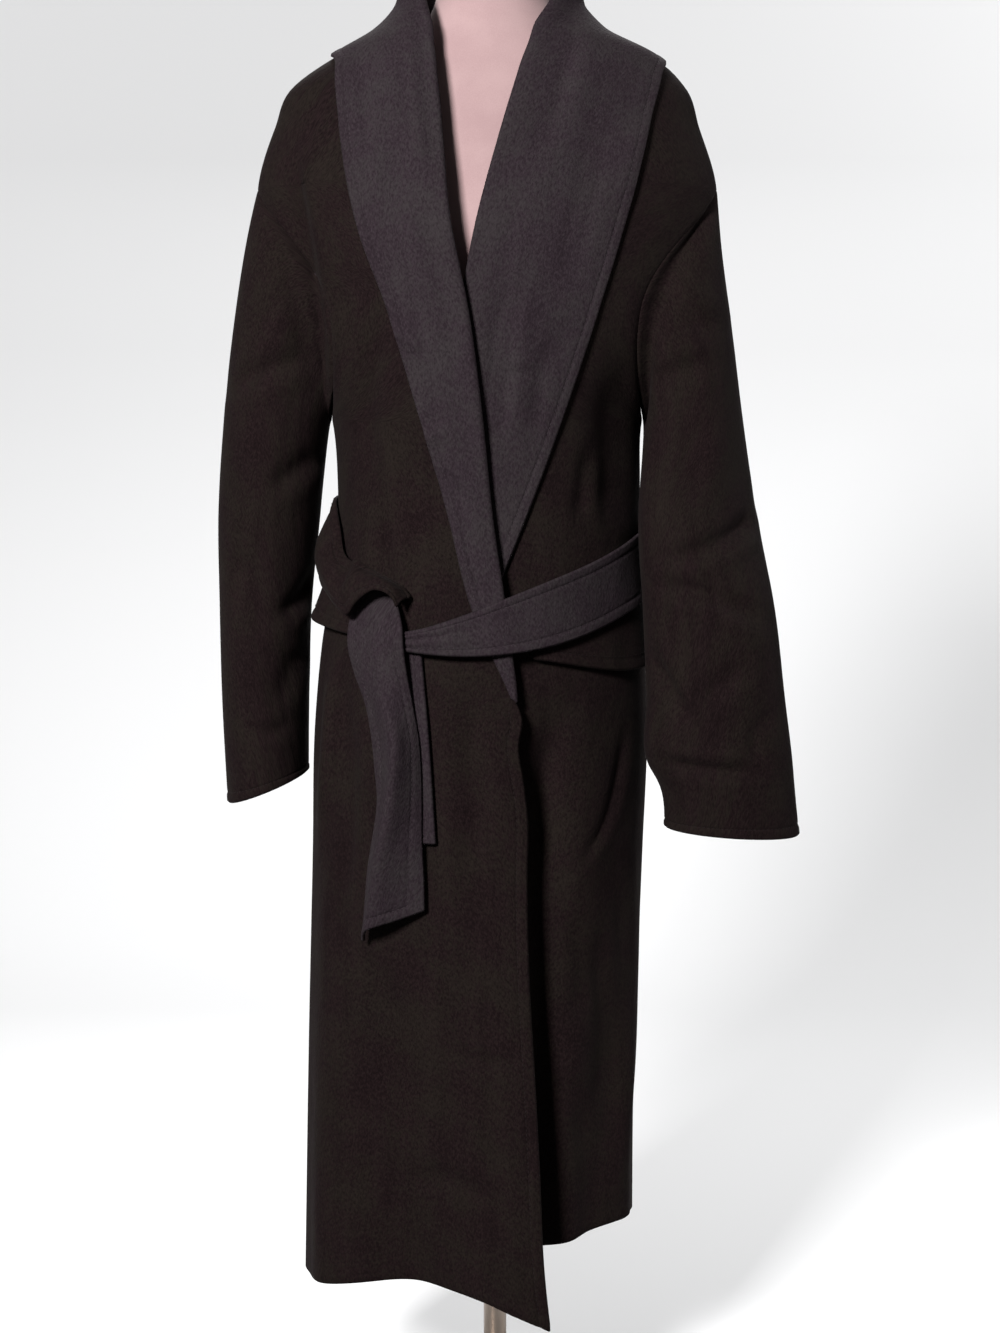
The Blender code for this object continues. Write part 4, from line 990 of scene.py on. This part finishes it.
right_sleeve, right_cuff_stitch = sleeve(
    "wool_sleeve_right", SLEEVE_RIGHT, -1.0, CUFF_RIGHT_OUTER, CUFF_RIGHT_INNER,
    SLEEVE_RIGHT_CREASES_FRONT, SLEEVE_RIGHT_CREASES_BACK)
left_sleeve, left_cuff_stitch = sleeve(
    "wool_sleeve_left", SLEEVE_LEFT, 1.0, CUFF_LEFT_OUTER, CUFF_LEFT_INNER,
    SLEEVE_LEFT_CREASES_FRONT, SLEEVE_LEFT_CREASES_BACK)
for piece, node in ((right_sleeve, "sleeve_right"), (left_sleeve, "sleeve_left")):
    fit(piece, node)

# Shawl collar: each half carries on from its front, rolls over at the roll line and lies back on the coat
# with the plum face out, round to centre back, where the two halves are joined. The outer edge is stitched.
FOLD_RADIUS = 0.0025
FOLD_RADIUS_BREAK = 0.0012
COLLAR_BRIDGE = 0.05
COLLAR_START = 1.4223
CENTRE_BACK_GAP = 0.09
# Share of its width by which the edge is drawn in at the shoulder, and over how many degrees; then how far
# the edge is laid down there, at which turn, and over how many degrees
EDGE_TUCK, EDGE_TUCK_REACH = 0.060, 11.0
EDGE_HUG, EDGE_HUG_TURN, EDGE_HUG_REACH = 0.0026, 94.0, 24.0
OVER_LAPEL_CREASES = (
    (0.0108, 0.0045, ((-0.078, 1.434), (-0.068, 1.343), (-0.058, 1.260))),
    (0.0072, 0.0048, ((-0.085, 1.136), (-0.071, 1.122), (-0.058, 1.112))),
    (0.0117, -0.0042, ((-0.106, 1.262), (-0.096, 1.215), (-0.087, 1.170))),
    (0.0072, -0.0035, ((-0.043, 1.000), (-0.033, 0.982), (-0.024, 0.966))),
    (0.0072, 0.0029, ((-0.056, 1.024), (-0.046, 1.032), (-0.034, 1.034))),
    (0.0108, -0.0032, ((-0.122, 1.385), (-0.114, 1.340), (-0.108, 1.290))),
    (0.0063, -0.0026, ((-0.020, 0.900), (-0.012, 0.885), (-0.004, 0.880))),
)
UNDER_LAPEL_CREASES = (
    (0.0126, -0.0083, ((0.078, 1.452), (0.068, 1.395), (0.058, 1.350), (0.046, 1.290))),
    (0.0108, -0.0057, ((0.018, 1.175), (0.010, 1.092), (0.004, 1.015))),
    (0.0054, -0.0027, ((0.008, 1.084), (0.023, 1.090), (0.040, 1.086))),
    (0.0135, -0.0036, ((0.105, 1.335), (0.091, 1.252), (0.066, 1.170))),
    (0.0108, 0.0030, ((0.146, 1.335), (0.134, 1.290), (0.124, 1.240))),
    (0.0090, -0.0024, ((0.060, 1.130), (0.048, 1.080), (0.044, 1.030))),
)


def collar_half(name, lapel, side, lift_at, creases, corner):
    """One collar half from the break of the lapel to centre back, and the line of its edge stitching.

    corner is the turn at which the outer edge crosses the shoulder."""
    lapel_height = np.linspace(BREAK_HEIGHT, COLLAR_START, 150)
    roll_x = read_table([(row[1], row[0]) for row in lapel], lapel_height)[0]
    edge_x, edge_height = read_table([(row[1], row[2], row[3]) for row in lapel], lapel_height)
    along = np.column_stack([
        turn_at(roll_x, lapel_height), lapel_height, turn_at(edge_x, edge_height), edge_height,
    ])
    neck = np.array([(side * row[0], row[1], side * row[2], row[3]) for row in COLLAR_NECK])
    around = np.vstack([along[-1:], neck])
    table = np.column_stack([np.arange(len(around)), around])
    along = np.vstack([along, read_table(table, np.linspace(0.0, len(around) - 1.0, 76)[1:]).T])
    padded = np.pad(along, ((6, 6), (0, 0)), mode="reflect", reflect_type="odd")
    weights = np.hanning(15)[1:-1]
    along = np.column_stack([np.convolve(column, weights / weights.sum(), "valid") for column in padded.T])
    along[-1, [0, 2]] = side * (180.0 - CENTRE_BACK_GAP)
    tuck = EDGE_TUCK * np.exp(-(((np.abs(along[:, 2:3]) - corner) / EDGE_TUCK_REACH) ** 2))
    along[:, 2:] += (along[:, :2] - along[:, 2:]) * tuck
    roll_turn, roll_height, edge_turn, edge_height = (column[:, None] for column in along.T)

    base = lift_at(roll_turn, roll_height)
    open_roll = ease((roll_height - BREAK_HEIGHT) / 0.10)
    radius = FOLD_RADIUS_BREAK + (FOLD_RADIUS - FOLD_RADIUS_BREAK) * open_roll
    out = body_normal(roll_turn, roll_height)
    crest = body_point(roll_turn, roll_height, base)
    ahead = crest - body_point(
        roll_turn + (edge_turn - roll_turn) * 0.05, roll_height + (edge_height - roll_height) * 0.05, base)
    ahead = unit(ahead - out * (ahead * out).sum(axis=-1, keepdims=True))

    # Stand on the neck, then half a turn of the roll
    stand = np.maximum(roll_height - NECK_SEAM, 0.0)
    reach = radius + WALL / 2.0
    path = np.linspace(0.0, 1.0, 18)[None, :] * (stand + math.pi * reach)
    on_stand = np.minimum(path, stand)
    rise = body_point(roll_turn, roll_height - stand + on_stand, base - WALL / 2.0)
    swing = (-math.pi / 2.0 + np.maximum(path - stand, 0.0) / reach)[..., None]
    arc = (out * np.sin(swing) + ahead * np.cos(swing)) * reach[..., None]
    turned = crest + out * radius[..., None] + arc
    upright = np.where((path < stand)[..., None], rise, turned)

    # Fall from the roll to the outer edge
    line = np.linspace(0.0, 1.0, 17)[None, :]
    fall_line = body_point(
        roll_turn + (edge_turn - roll_turn) * line, roll_height + (edge_height - roll_height) * line, 0.0)
    width = np.linalg.norm(np.diff(fall_line, axis=1), axis=-1).sum(axis=1)
    run = ruled_columns(width, (0.0, 0.0012, 0.003), EDGE_LINES, 30)[:, 1:]
    share = run / width[:, None]
    turn = roll_turn + (edge_turn - roll_turn) * share
    height = roll_height + (edge_height - roll_height) * share
    bridge = COLLAR_BRIDGE * stand * np.abs(np.sin(math.pi * share)) ** 1.2
    clear = radius * (2.0 - 0.6 * share)
    relief = stroke_relief(body_section(turn, height)[..., 0], height, creases)
    in_front = np.cos(np.radians(turn)) > 0.0
    relief = np.maximum(relief, -0.6 * clear) * ease(share / 0.25) * in_front
    hug = EDGE_HUG * share ** 2 * np.exp(-(((np.abs(turn) - EDGE_HUG_TURN) / EDGE_HUG_REACH) ** 2))
    lift = lift_at(turn, height) + clear + bridge + WALL / 2.0 + relief - hug
    fall = body_point(turn, height, lift)

    middle = np.concatenate([upright, fall], axis=1)
    from_edge = np.concatenate([np.full(upright.shape[:2], 1.0), width[:, None] - run], axis=1)
    wide = ease((width[:, None] - 0.012) / 0.014)
    wall = WALL + (stitched_wall(from_edge) - WALL) * wide
    toward = np.concatenate([np.zeros_like(upright), body_normal(turn, height)], axis=1)
    made, face = cloth_shell(name, middle, wall, plum_wool, brown_wool, toward)
    return made, face[(width > 0.022)][:, -1 - EDGE_LINES.index(STITCH_INSET)]


left_collar, left_collar_stitch = collar_half(
    "wool_collar_left", LAPEL_UNDER, 1.0, under_lift, UNDER_LAPEL_CREASES, 97.0)
right_collar, right_collar_stitch = collar_half(
    "wool_collar_right", LAPEL_OVER, -1.0, over_lift, OVER_LAPEL_CREASES, 87.0)
for piece, node, rest in (
    (left_collar, "collar_left", "wool_front_left"),
    (right_collar, "collar_right", "wool_front_right"),
):
    fit(piece, node)

# Pocket flaps: a doubled strip of the same wool at each hip, sewn on along its top under the belt, with the
# free lower edge rolled and stitched.
# Inner turn, outer turn, top height at the inner end, at the outer end, lower height at the inner end, at
# the outer end, lift off the front along the top, at the lower edge's two ends, lower sag
FLAP_RIGHT = (-30.0, -88.0, 0.864, 0.906, 0.832, 0.842, 0.0040, 0.0044, 0.0150, 0.000)
FLAP_LEFT = (15.5, 77.0, 0.858, 0.872, 0.815, 0.802, 0.0050, 0.0090, 0.0090, 0.008)
FLAP_DEPTH = 0.05


def pocket_flap(name, sizes, lift_at):
    """One flap as a wall that stands a little off the front at its lower edge."""
    inner, outer, top_inner, top_outer, low_inner, low_outer, lift_top, lift_inner, lift_outer, sag = sizes
    u = np.linspace(0.0, 1.0, 72)[None, :]
    v = np.concatenate([np.array(EDGE_LINES) / FLAP_DEPTH, np.linspace(0.36, 1.0, 14)])[:, None]
    turn = inner + (outer - inner) * u
    low = low_inner + (low_outer - low_inner) * ease(u) - sag * np.sin(math.pi * u)
    top = top_inner + (top_outer - top_inner) * u
    height = low + (top - low) * v
    lift_low = lift_inner + (lift_outer - lift_inner) * ease(u)
    turn, height = np.broadcast_arrays(turn, height)
    wave = 0.0012 * np.sin(9.0 * u + 0.6) * (1.0 - v)
    lift = lift_at(turn, height) + lift_low + (lift_top - lift_low) * v + np.maximum(wave, 0.0) - WALL / 2.0
    middle = body_point(turn, height, lift)
    wall = np.broadcast_to(stitched_wall((top - low) * v), middle.shape[:2])
    made, face = cloth_shell(name, middle, wall, brown_wool, plum_wool, body_normal(turn, height))
    return made, face[EDGE_LINES.index(STITCH_INSET)]


right_flap, right_flap_stitch = pocket_flap("wool_pocket_flap_right", FLAP_RIGHT, over_lift)
left_flap, left_flap_stitch = pocket_flap("wool_pocket_flap_left", FLAP_LEFT, under_lift)
for piece, node, rest in (
    (right_flap, "pocket_flap_right", "wool_front_right"),
    (left_flap, "pocket_flap_left", "wool_front_left"),
):
    fit(piece, node)

# Belt: one long strip of the same wool with its edges turned in and stitched. It runs round the waist with
# the plum face out, and is drawn together into pleats where it goes into the knot.
BELT_WALL = 0.0026
BELT_WIDTH = 0.066
# Turn, height of the middle line, width, lift of the outer face
BELT_PATH = (
    (-38.0, 0.8330, 0.009, 0.0235),
    (-32.0, 0.8310, 0.011, 0.0250),
    (-22.0, 0.8310, 0.019, 0.0265),
    (-8.0, 0.8370, 0.036, 0.0275),
    (6.0, 0.8470, 0.051, 0.0265),
    (20.0, 0.8580, 0.060, 0.0215),
    (38.0, 0.8730, 0.064, 0.0150),
    (58.0, 0.8900, 0.066, 0.0110),
    (90.0, 0.9080, 0.066, 0.0085),
    (135.0, 0.9120, 0.066, 0.0075),
    (180.0, 0.9140, 0.066, 0.0070),
    (225.0, 0.9180, 0.066, 0.0075),
    (262.0, 0.9260, 0.066, 0.0090),
)

belt_turn = np.linspace(BELT_PATH[0][0], BELT_PATH[-1][0], 330)[None, :]
belt_level, belt_width, belt_lift = read_table(BELT_PATH, belt_turn[0])
belt_edge = np.array(EDGE_LINES) / BELT_WIDTH
belt_up = np.concatenate([belt_edge, np.linspace(0.27, 0.73, 14), 1.0 - belt_edge[::-1]])[:, None]
belt_height = belt_level[None, :] + belt_width[None, :] * (belt_up - 0.5)
belt_gather = 1.0 - ease((belt_width[None, :] - 0.014) / 0.046)
belt_pleat = 0.0008 * belt_gather * np.cos(4.6 * math.pi * belt_up + 0.5)
belt_wave = 0.0010 * np.sin(np.radians(belt_turn) * 7.0 + 2.0 * belt_up) * ease((belt_turn - 30.0) / 30.0)
belt_middle = body_point(
    np.broadcast_to(belt_turn, belt_height.shape), belt_height,
    belt_lift[None, :] + belt_pleat + np.maximum(belt_wave, -0.0004) - BELT_WALL / 2.0)
belt_from_edge = np.minimum(belt_up, 1.0 - belt_up) * BELT_WIDTH
belt_wall = stitched_wall(belt_from_edge) * np.ones_like(belt_height)
belt, belt_face = cloth_shell(
    "wool_belt_waist", belt_middle, belt_wall, plum_wool, brown_wool, body_normal(belt_turn, belt_height))
belt_open = belt_width > 0.020
belt_stitch_low = belt_face[EDGE_LINES.index(STITCH_INSET)][belt_open]
belt_stitch_high = belt_face[-1 - EDGE_LINES.index(STITCH_INSET)][belt_open]
fit(belt, "belt_waist")

# Knot of the belt: the belt comes forward from the right side with its brown face out, and bends over into
# a loose hood that the two ends hang from.
# Turn, height and lift of its upper edge, then of its lower rim
KNOT_LOOP = (
    (-97.0, 0.966, 0.0042, -97.0, 0.892, 0.0110),
    (-83.0, 0.961, 0.0046, -82.0, 0.882, 0.0130),
    (-70.0, 0.938, 0.0066, -64.0, 0.872, 0.0205),
    (-62.5, 0.914, 0.0097, -51.5, 0.860, 0.0310),
    (-54.4, 0.904, 0.0130, -45.4, 0.853, 0.0360),
    (-50.0, 0.906, 0.0155, -41.7, 0.864, 0.0410),
    (-43.5, 0.899, 0.0176, -38.3, 0.873, 0.0440),
    (-38.0, 0.893, 0.0192, -34.5, 0.880, 0.0450),
    (-32.6, 0.8875, 0.0203, -31.0, 0.8790, 0.0440),
    (-28.4, 0.8815, 0.0210, -28.6, 0.8735, 0.0415),
    (-25.6, 0.8735, 0.0215, -27.4, 0.8650, 0.0380),
)
KNOT_WIDTH = 0.062
KNOT_BULGE = 0.0155
KNOT_ARCH = 0.004
# Creases: half-width, depth, then the stroke's points as shares along the loop and up it
KNOT_CREASES = (
    (0.06, -0.0030, ((0.42, 0.98), (0.44, 0.72), (0.40, 0.40))),
    (0.05, -0.0022, ((0.30, 0.70), (0.36, 0.45), (0.34, 0.15))),
    (0.07, -0.0020, ((0.66, 0.85), (0.70, 0.55), (0.66, 0.30))),
    (0.06, -0.0016, ((0.14, 0.90), (0.22, 0.70), (0.28, 0.62))),
)

knot_u = np.linspace(0.0, 1.0, 120)[None, :]
knot_edge = np.array(EDGE_LINES[:-1]) / KNOT_WIDTH
knot_v = np.concatenate([knot_edge, np.linspace(0.25, 0.76, 14), 1.0 - knot_edge[::-1]])[:, None]
knot_rows = [(index,) + row for index, row in enumerate(KNOT_LOOP)]
knot_top_turn, knot_top, knot_top_lift, knot_rim_turn, knot_rim, knot_rim_lift = read_table(
    knot_rows, knot_u * (len(KNOT_LOOP) - 1.0))
knot_swell = np.sin(math.pi * knot_v)
knot_bulge = KNOT_BULGE * knot_swell * ease(knot_u * 6.0) * (1.0 - 0.75 * ease((knot_u - 0.2) / 0.4))
knot_turn = knot_rim_turn + (knot_top_turn - knot_rim_turn) * knot_v
knot_height = knot_rim + (knot_top - knot_rim) * knot_v + (
    KNOT_ARCH * knot_swell * ease((knot_u - 0.25) / 0.3) * ease((1.15 - knot_u) / 0.4))
knot_relief = stroke_relief(
    np.broadcast_to(knot_u, knot_turn.shape), np.broadcast_to(knot_v, knot_turn.shape), KNOT_CREASES)
knot_lift = knot_rim_lift + (knot_top_lift - knot_rim_lift) * knot_v + knot_bulge + knot_relief
knot_middle = body_point(knot_turn, knot_height, knot_lift - BELT_WALL / 2.0)
knot_wall = stitched_wall(np.minimum(knot_v, 1.0 - knot_v) * KNOT_WIDTH) * np.ones_like(knot_turn)
knot, knot_face = cloth_shell(
    "wool_belt_knot", knot_middle, knot_wall, brown_wool, plum_wool, body_normal(knot_turn, knot_height))
knot_stitch_low = knot_face[EDGE_LINES.index(STITCH_INSET)]
knot_stitch_high = knot_face[-1 - EDGE_LINES.index(STITCH_INSET)]
fit(knot, "belt_knot")

# Ends of the belt: the long end comes out of the hood and folds lengthwise on its way down, and the short
# end hangs behind it. Both show the plum face, and their edges are turned in and stitched.
# Height, x of the lines across from left edge to right edge, lifts of the same lines off the over front
TAIL_LONG = (
    (0.880, -0.1095, -0.1035, -0.0985, -0.0930, -0.0880, 0.0075, 0.0060, 0.0085, 0.0085, 0.0080),
    (0.863, -0.1200, -0.1136, -0.1000, -0.0890, -0.0798, 0.0105, 0.0090, 0.0135, 0.0130, 0.0125),
    (0.847, -0.1237, -0.1139, -0.0988, -0.0858, -0.0750, 0.0120, 0.0130, 0.0180, 0.0185, 0.0175),
    (0.826, -0.1244, -0.1111, -0.0952, -0.0827, -0.0733, 0.0140, 0.0180, 0.0210, 0.0215, 0.0195),
    (0.800, -0.1185, -0.1063, -0.0925, -0.0801, -0.0712, 0.0140, 0.0190, 0.0230, 0.0215, 0.0170),
    (0.769, -0.1095, -0.0999, -0.0850, -0.0755, -0.0680, 0.0105, 0.0170, 0.0280, 0.0200, 0.0115),
    (0.733, -0.1036, -0.0905, -0.0770, -0.0700, -0.0635, 0.0095, 0.0190, 0.0340, 0.0210, 0.0090),
    (0.707, -0.1010, -0.0885, -0.0775, -0.0696, -0.0620, 0.0100, 0.0215, 0.0360, 0.0220, 0.0090),
    (0.676, -0.0985, -0.0905, -0.0800, -0.0708, -0.0615, 0.0110, 0.0230, 0.0360, 0.0220, 0.0090),
    (0.641, -0.1020, -0.0962, -0.0860, -0.0740, -0.0615, 0.0130, 0.0235, 0.0350, 0.0215, 0.0090),
    (0.608, -0.1078, -0.1022, -0.0922, -0.0766, -0.0606, 0.0135, 0.0235, 0.0345, 0.0215, 0.0090),
    (0.578, -0.1115, -0.1060, -0.0962, -0.0784, -0.0600, 0.0135, 0.0225, 0.0330, 0.0205, 0.0090),
    (0.552, -0.1150, -0.1104, -0.1004, -0.0804, -0.0598, 0.0135, 0.0215, 0.0310, 0.0195, 0.0095),
)
TAIL_SHORT = (
    (0.820, -0.1000, -0.0780, -0.0620, 0.0054, 0.0058, 0.0054),
    (0.740, -0.1000, -0.0740, -0.0560, 0.0050, 0.0054, 0.0050),
    (0.636, -0.0960, -0.0720, -0.0500, 0.0050, 0.0054, 0.0050),
)
TAIL_SLANT = 0.036
END_WIDTH, END_LENGTH = 0.056, 0.30


def belt_end(name, table, slant, rows):
    """One hanging end of the belt, and the lines of stitching along its edges."""
    table = sorted(table)
    line = np.array(EDGE_LINES[:-1]) / END_WIDTH
    u = np.concatenate([line, np.linspace(0.26, 0.74, 16), 1.0 - line[::-1]])[None, :]
    v = np.concatenate([np.array(EDGE_LINES) / END_LENGTH, np.linspace(0.06, 1.0, rows)])[:, None]
    height = table[0][0] + (table[-1][0] - table[0][0]) * v
    sizes = read_table(table, height[:, 0])
    lines = len(sizes) // 2
    stops = np.linspace(0.0, 1.0, lines)
    bends = [np.column_stack([stops, row[:lines], row[lines:]]) for row in sizes.T]
    x, lift = np.stack([read_table(bend, u[0]) for bend in bends], axis=1)
    level = height + slant * (u - 0.5) * (1.0 - ease(v * 4.0))
    turn = turn_at(x, np.broadcast_to(height, x.shape))
    middle = body_point(turn, level, over_lift(turn, level) + lift - BELT_WALL / 2.0)
    from_edge = np.minimum(np.minimum(u, 1.0 - u) * END_WIDTH, v * END_LENGTH)
    wall = stitched_wall(from_edge)
    made, face = cloth_shell(name, middle, wall, plum_wool, brown_wool, body_normal(turn, level))
    inset = EDGE_LINES.index(STITCH_INSET)
    lines = [face[inset:, inset], face[inset, inset:-inset], face[inset:, -1 - inset]]
    return made, lines


long_end, long_end_stitches = belt_end("wool_belt_end_long", TAIL_LONG, TAIL_SLANT, 84)
short_end, short_end_stitches = belt_end("wool_belt_end_short", TAIL_SHORT, 0.0, 52)
fit(long_end, "belt_tail_long")
fit(short_end, "belt_tail_short")

# Edge stitching: one row of small running stitches in matching thread, 9 mm in from the turned edges of the
# front, the collar, the cuffs, the flaps and the belt, each stitch sunk a little into the nap.
STITCH_LENGTH = 0.0030
STITCH_PITCH = 0.0046
THREAD_WIDTH = 0.0007


def stitch_rows(name, lines, thread):
    """Stitches along lines of points, made by Geometry Nodes and turned into a plain mesh."""
    points, edges = [], []
    for line in lines:
        first = len(points)
        points += [tuple(point) for point in line]
        edges += [(index, index + 1) for index in range(first, len(points) - 1)]
    mesh = bpy.data.meshes.new(name + "_lines")
    mesh.from_pydata(points, edges, [])
    guide = bpy.data.objects.new(name + "_lines", mesh)
    scene.collection.objects.link(guide)

    tree = bpy.data.node_groups.new(name, "GeometryNodeTree")
    face = tree.interface
    face.new_socket("Geometry", in_out="INPUT", socket_type="NodeSocketGeometry")
    sizes = {}
    for title, amount in (
        ("Pitch", STITCH_PITCH), ("Stitch length", STITCH_LENGTH), ("Thread width", THREAD_WIDTH),
    ):
        socket = face.new_socket(title, in_out="INPUT", socket_type="NodeSocketFloat")
        socket.default_value = amount
        sizes[socket.identifier] = amount
    face.new_socket("Geometry", in_out="OUTPUT", socket_type="NodeSocketGeometry")

    def add(kind, **links):
        """Add a node of a kind and link its inputs."""
        node = tree.nodes.new(kind)
        for key, link in links.items():
            tree.links.new(link, node.inputs[key.replace("_", " ")])
        return node

    start = add("NodeGroupInput")
    curve = add("GeometryNodeMeshToCurve", Mesh=start.outputs["Geometry"])
    spots = add("GeometryNodeCurveToPoints", Curve=curve.outputs[0])
    spots.mode = "LENGTH"
    tree.links.new(start.outputs["Pitch"], spots.inputs["Length"])
    lie = add("FunctionNodeAlignRotationToVector", Vector=spots.outputs["Tangent"])
    lie.axis = "Z"
    knob = add("GeometryNodeMeshUVSphere")
    knob.inputs["Segments"].default_value = 6
    knob.inputs["Rings"].default_value = 5
    knob.inputs["Radius"].default_value = 0.5
    shape = add("ShaderNodeCombineXYZ", X=start.outputs["Thread width"], Y=start.outputs["Thread width"],
                Z=start.outputs["Stitch length"])
    placed = add(
        "GeometryNodeInstanceOnPoints", Points=spots.outputs["Points"], Instance=knob.outputs["Mesh"],
        Rotation=lie.outputs["Rotation"], Scale=shape.outputs["Vector"])
    whole = add("GeometryNodeRealizeInstances", Geometry=placed.outputs["Instances"])
    dyed = add("GeometryNodeSetMaterial", Geometry=whole.outputs["Geometry"])
    dyed.inputs["Material"].default_value = thread
    end = add("NodeGroupOutput", Geometry=dyed.outputs["Geometry"])
    end.is_active_output = True

    modifier = guide.modifiers.new("stitches", "NODES")
    modifier.node_group = tree
    for identifier, amount in sizes.items():
        modifier[identifier] = amount
    bpy.context.view_layer.update()
    graph = bpy.context.evaluated_depsgraph_get()
    plain = bpy.data.meshes.new_from_object(guide.evaluated_get(graph))
    guide.modifiers.remove(modifier)
    bpy.data.objects.remove(guide)
    plain.name = name
    if not len(plain.materials):
        plain.materials.append(thread)
    plain.polygons.foreach_set("use_smooth", [True] * len(plain.polygons))
    made = bpy.data.objects.new(name, plain)
    scene.collection.objects.link(made)
    return made


def thread_finish(name, deep, light):
    """Twisted wool thread."""
    material, tree, shader = new_finish(name)
    spot = tree.node("ShaderNodeTexCoord", {}, {}, "Object")
    twist = tree.noise(spot, 1900.0, 1.0)
    feed(
        tree, shader,
        Base_Color=tree.blend(twist.band(0.3, 0.7), (*deep, 1.0), (*light, 1.0)),
        Roughness=0.7 + twist * 0.2,
        Specular_IOR_Level=0.15,
        Normal=twist.relief(0.4, 0.0003),
    )
    return material


brown_stitches = stitch_rows("stitching_brown", [
    right_front_stitch, left_front_stitch, right_cuff_stitch, left_cuff_stitch,
    right_flap_stitch, left_flap_stitch, knot_stitch_low, knot_stitch_high,
], thread_finish("brown_thread", (0.008, 0.005, 0.005), (0.019, 0.013, 0.013)))
plum_stitches = stitch_rows("stitching_plum", [
    left_collar_stitch, right_collar_stitch, belt_stitch_low, belt_stitch_high,
    *long_end_stitches, *short_end_stitches,
], thread_finish("plum_thread", (0.022, 0.015, 0.018), (0.048, 0.036, 0.043)))
for piece, slot in ((brown_stitches, "outer_wool"), (plum_stitches, "inner_wool")):
    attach(piece, "root")
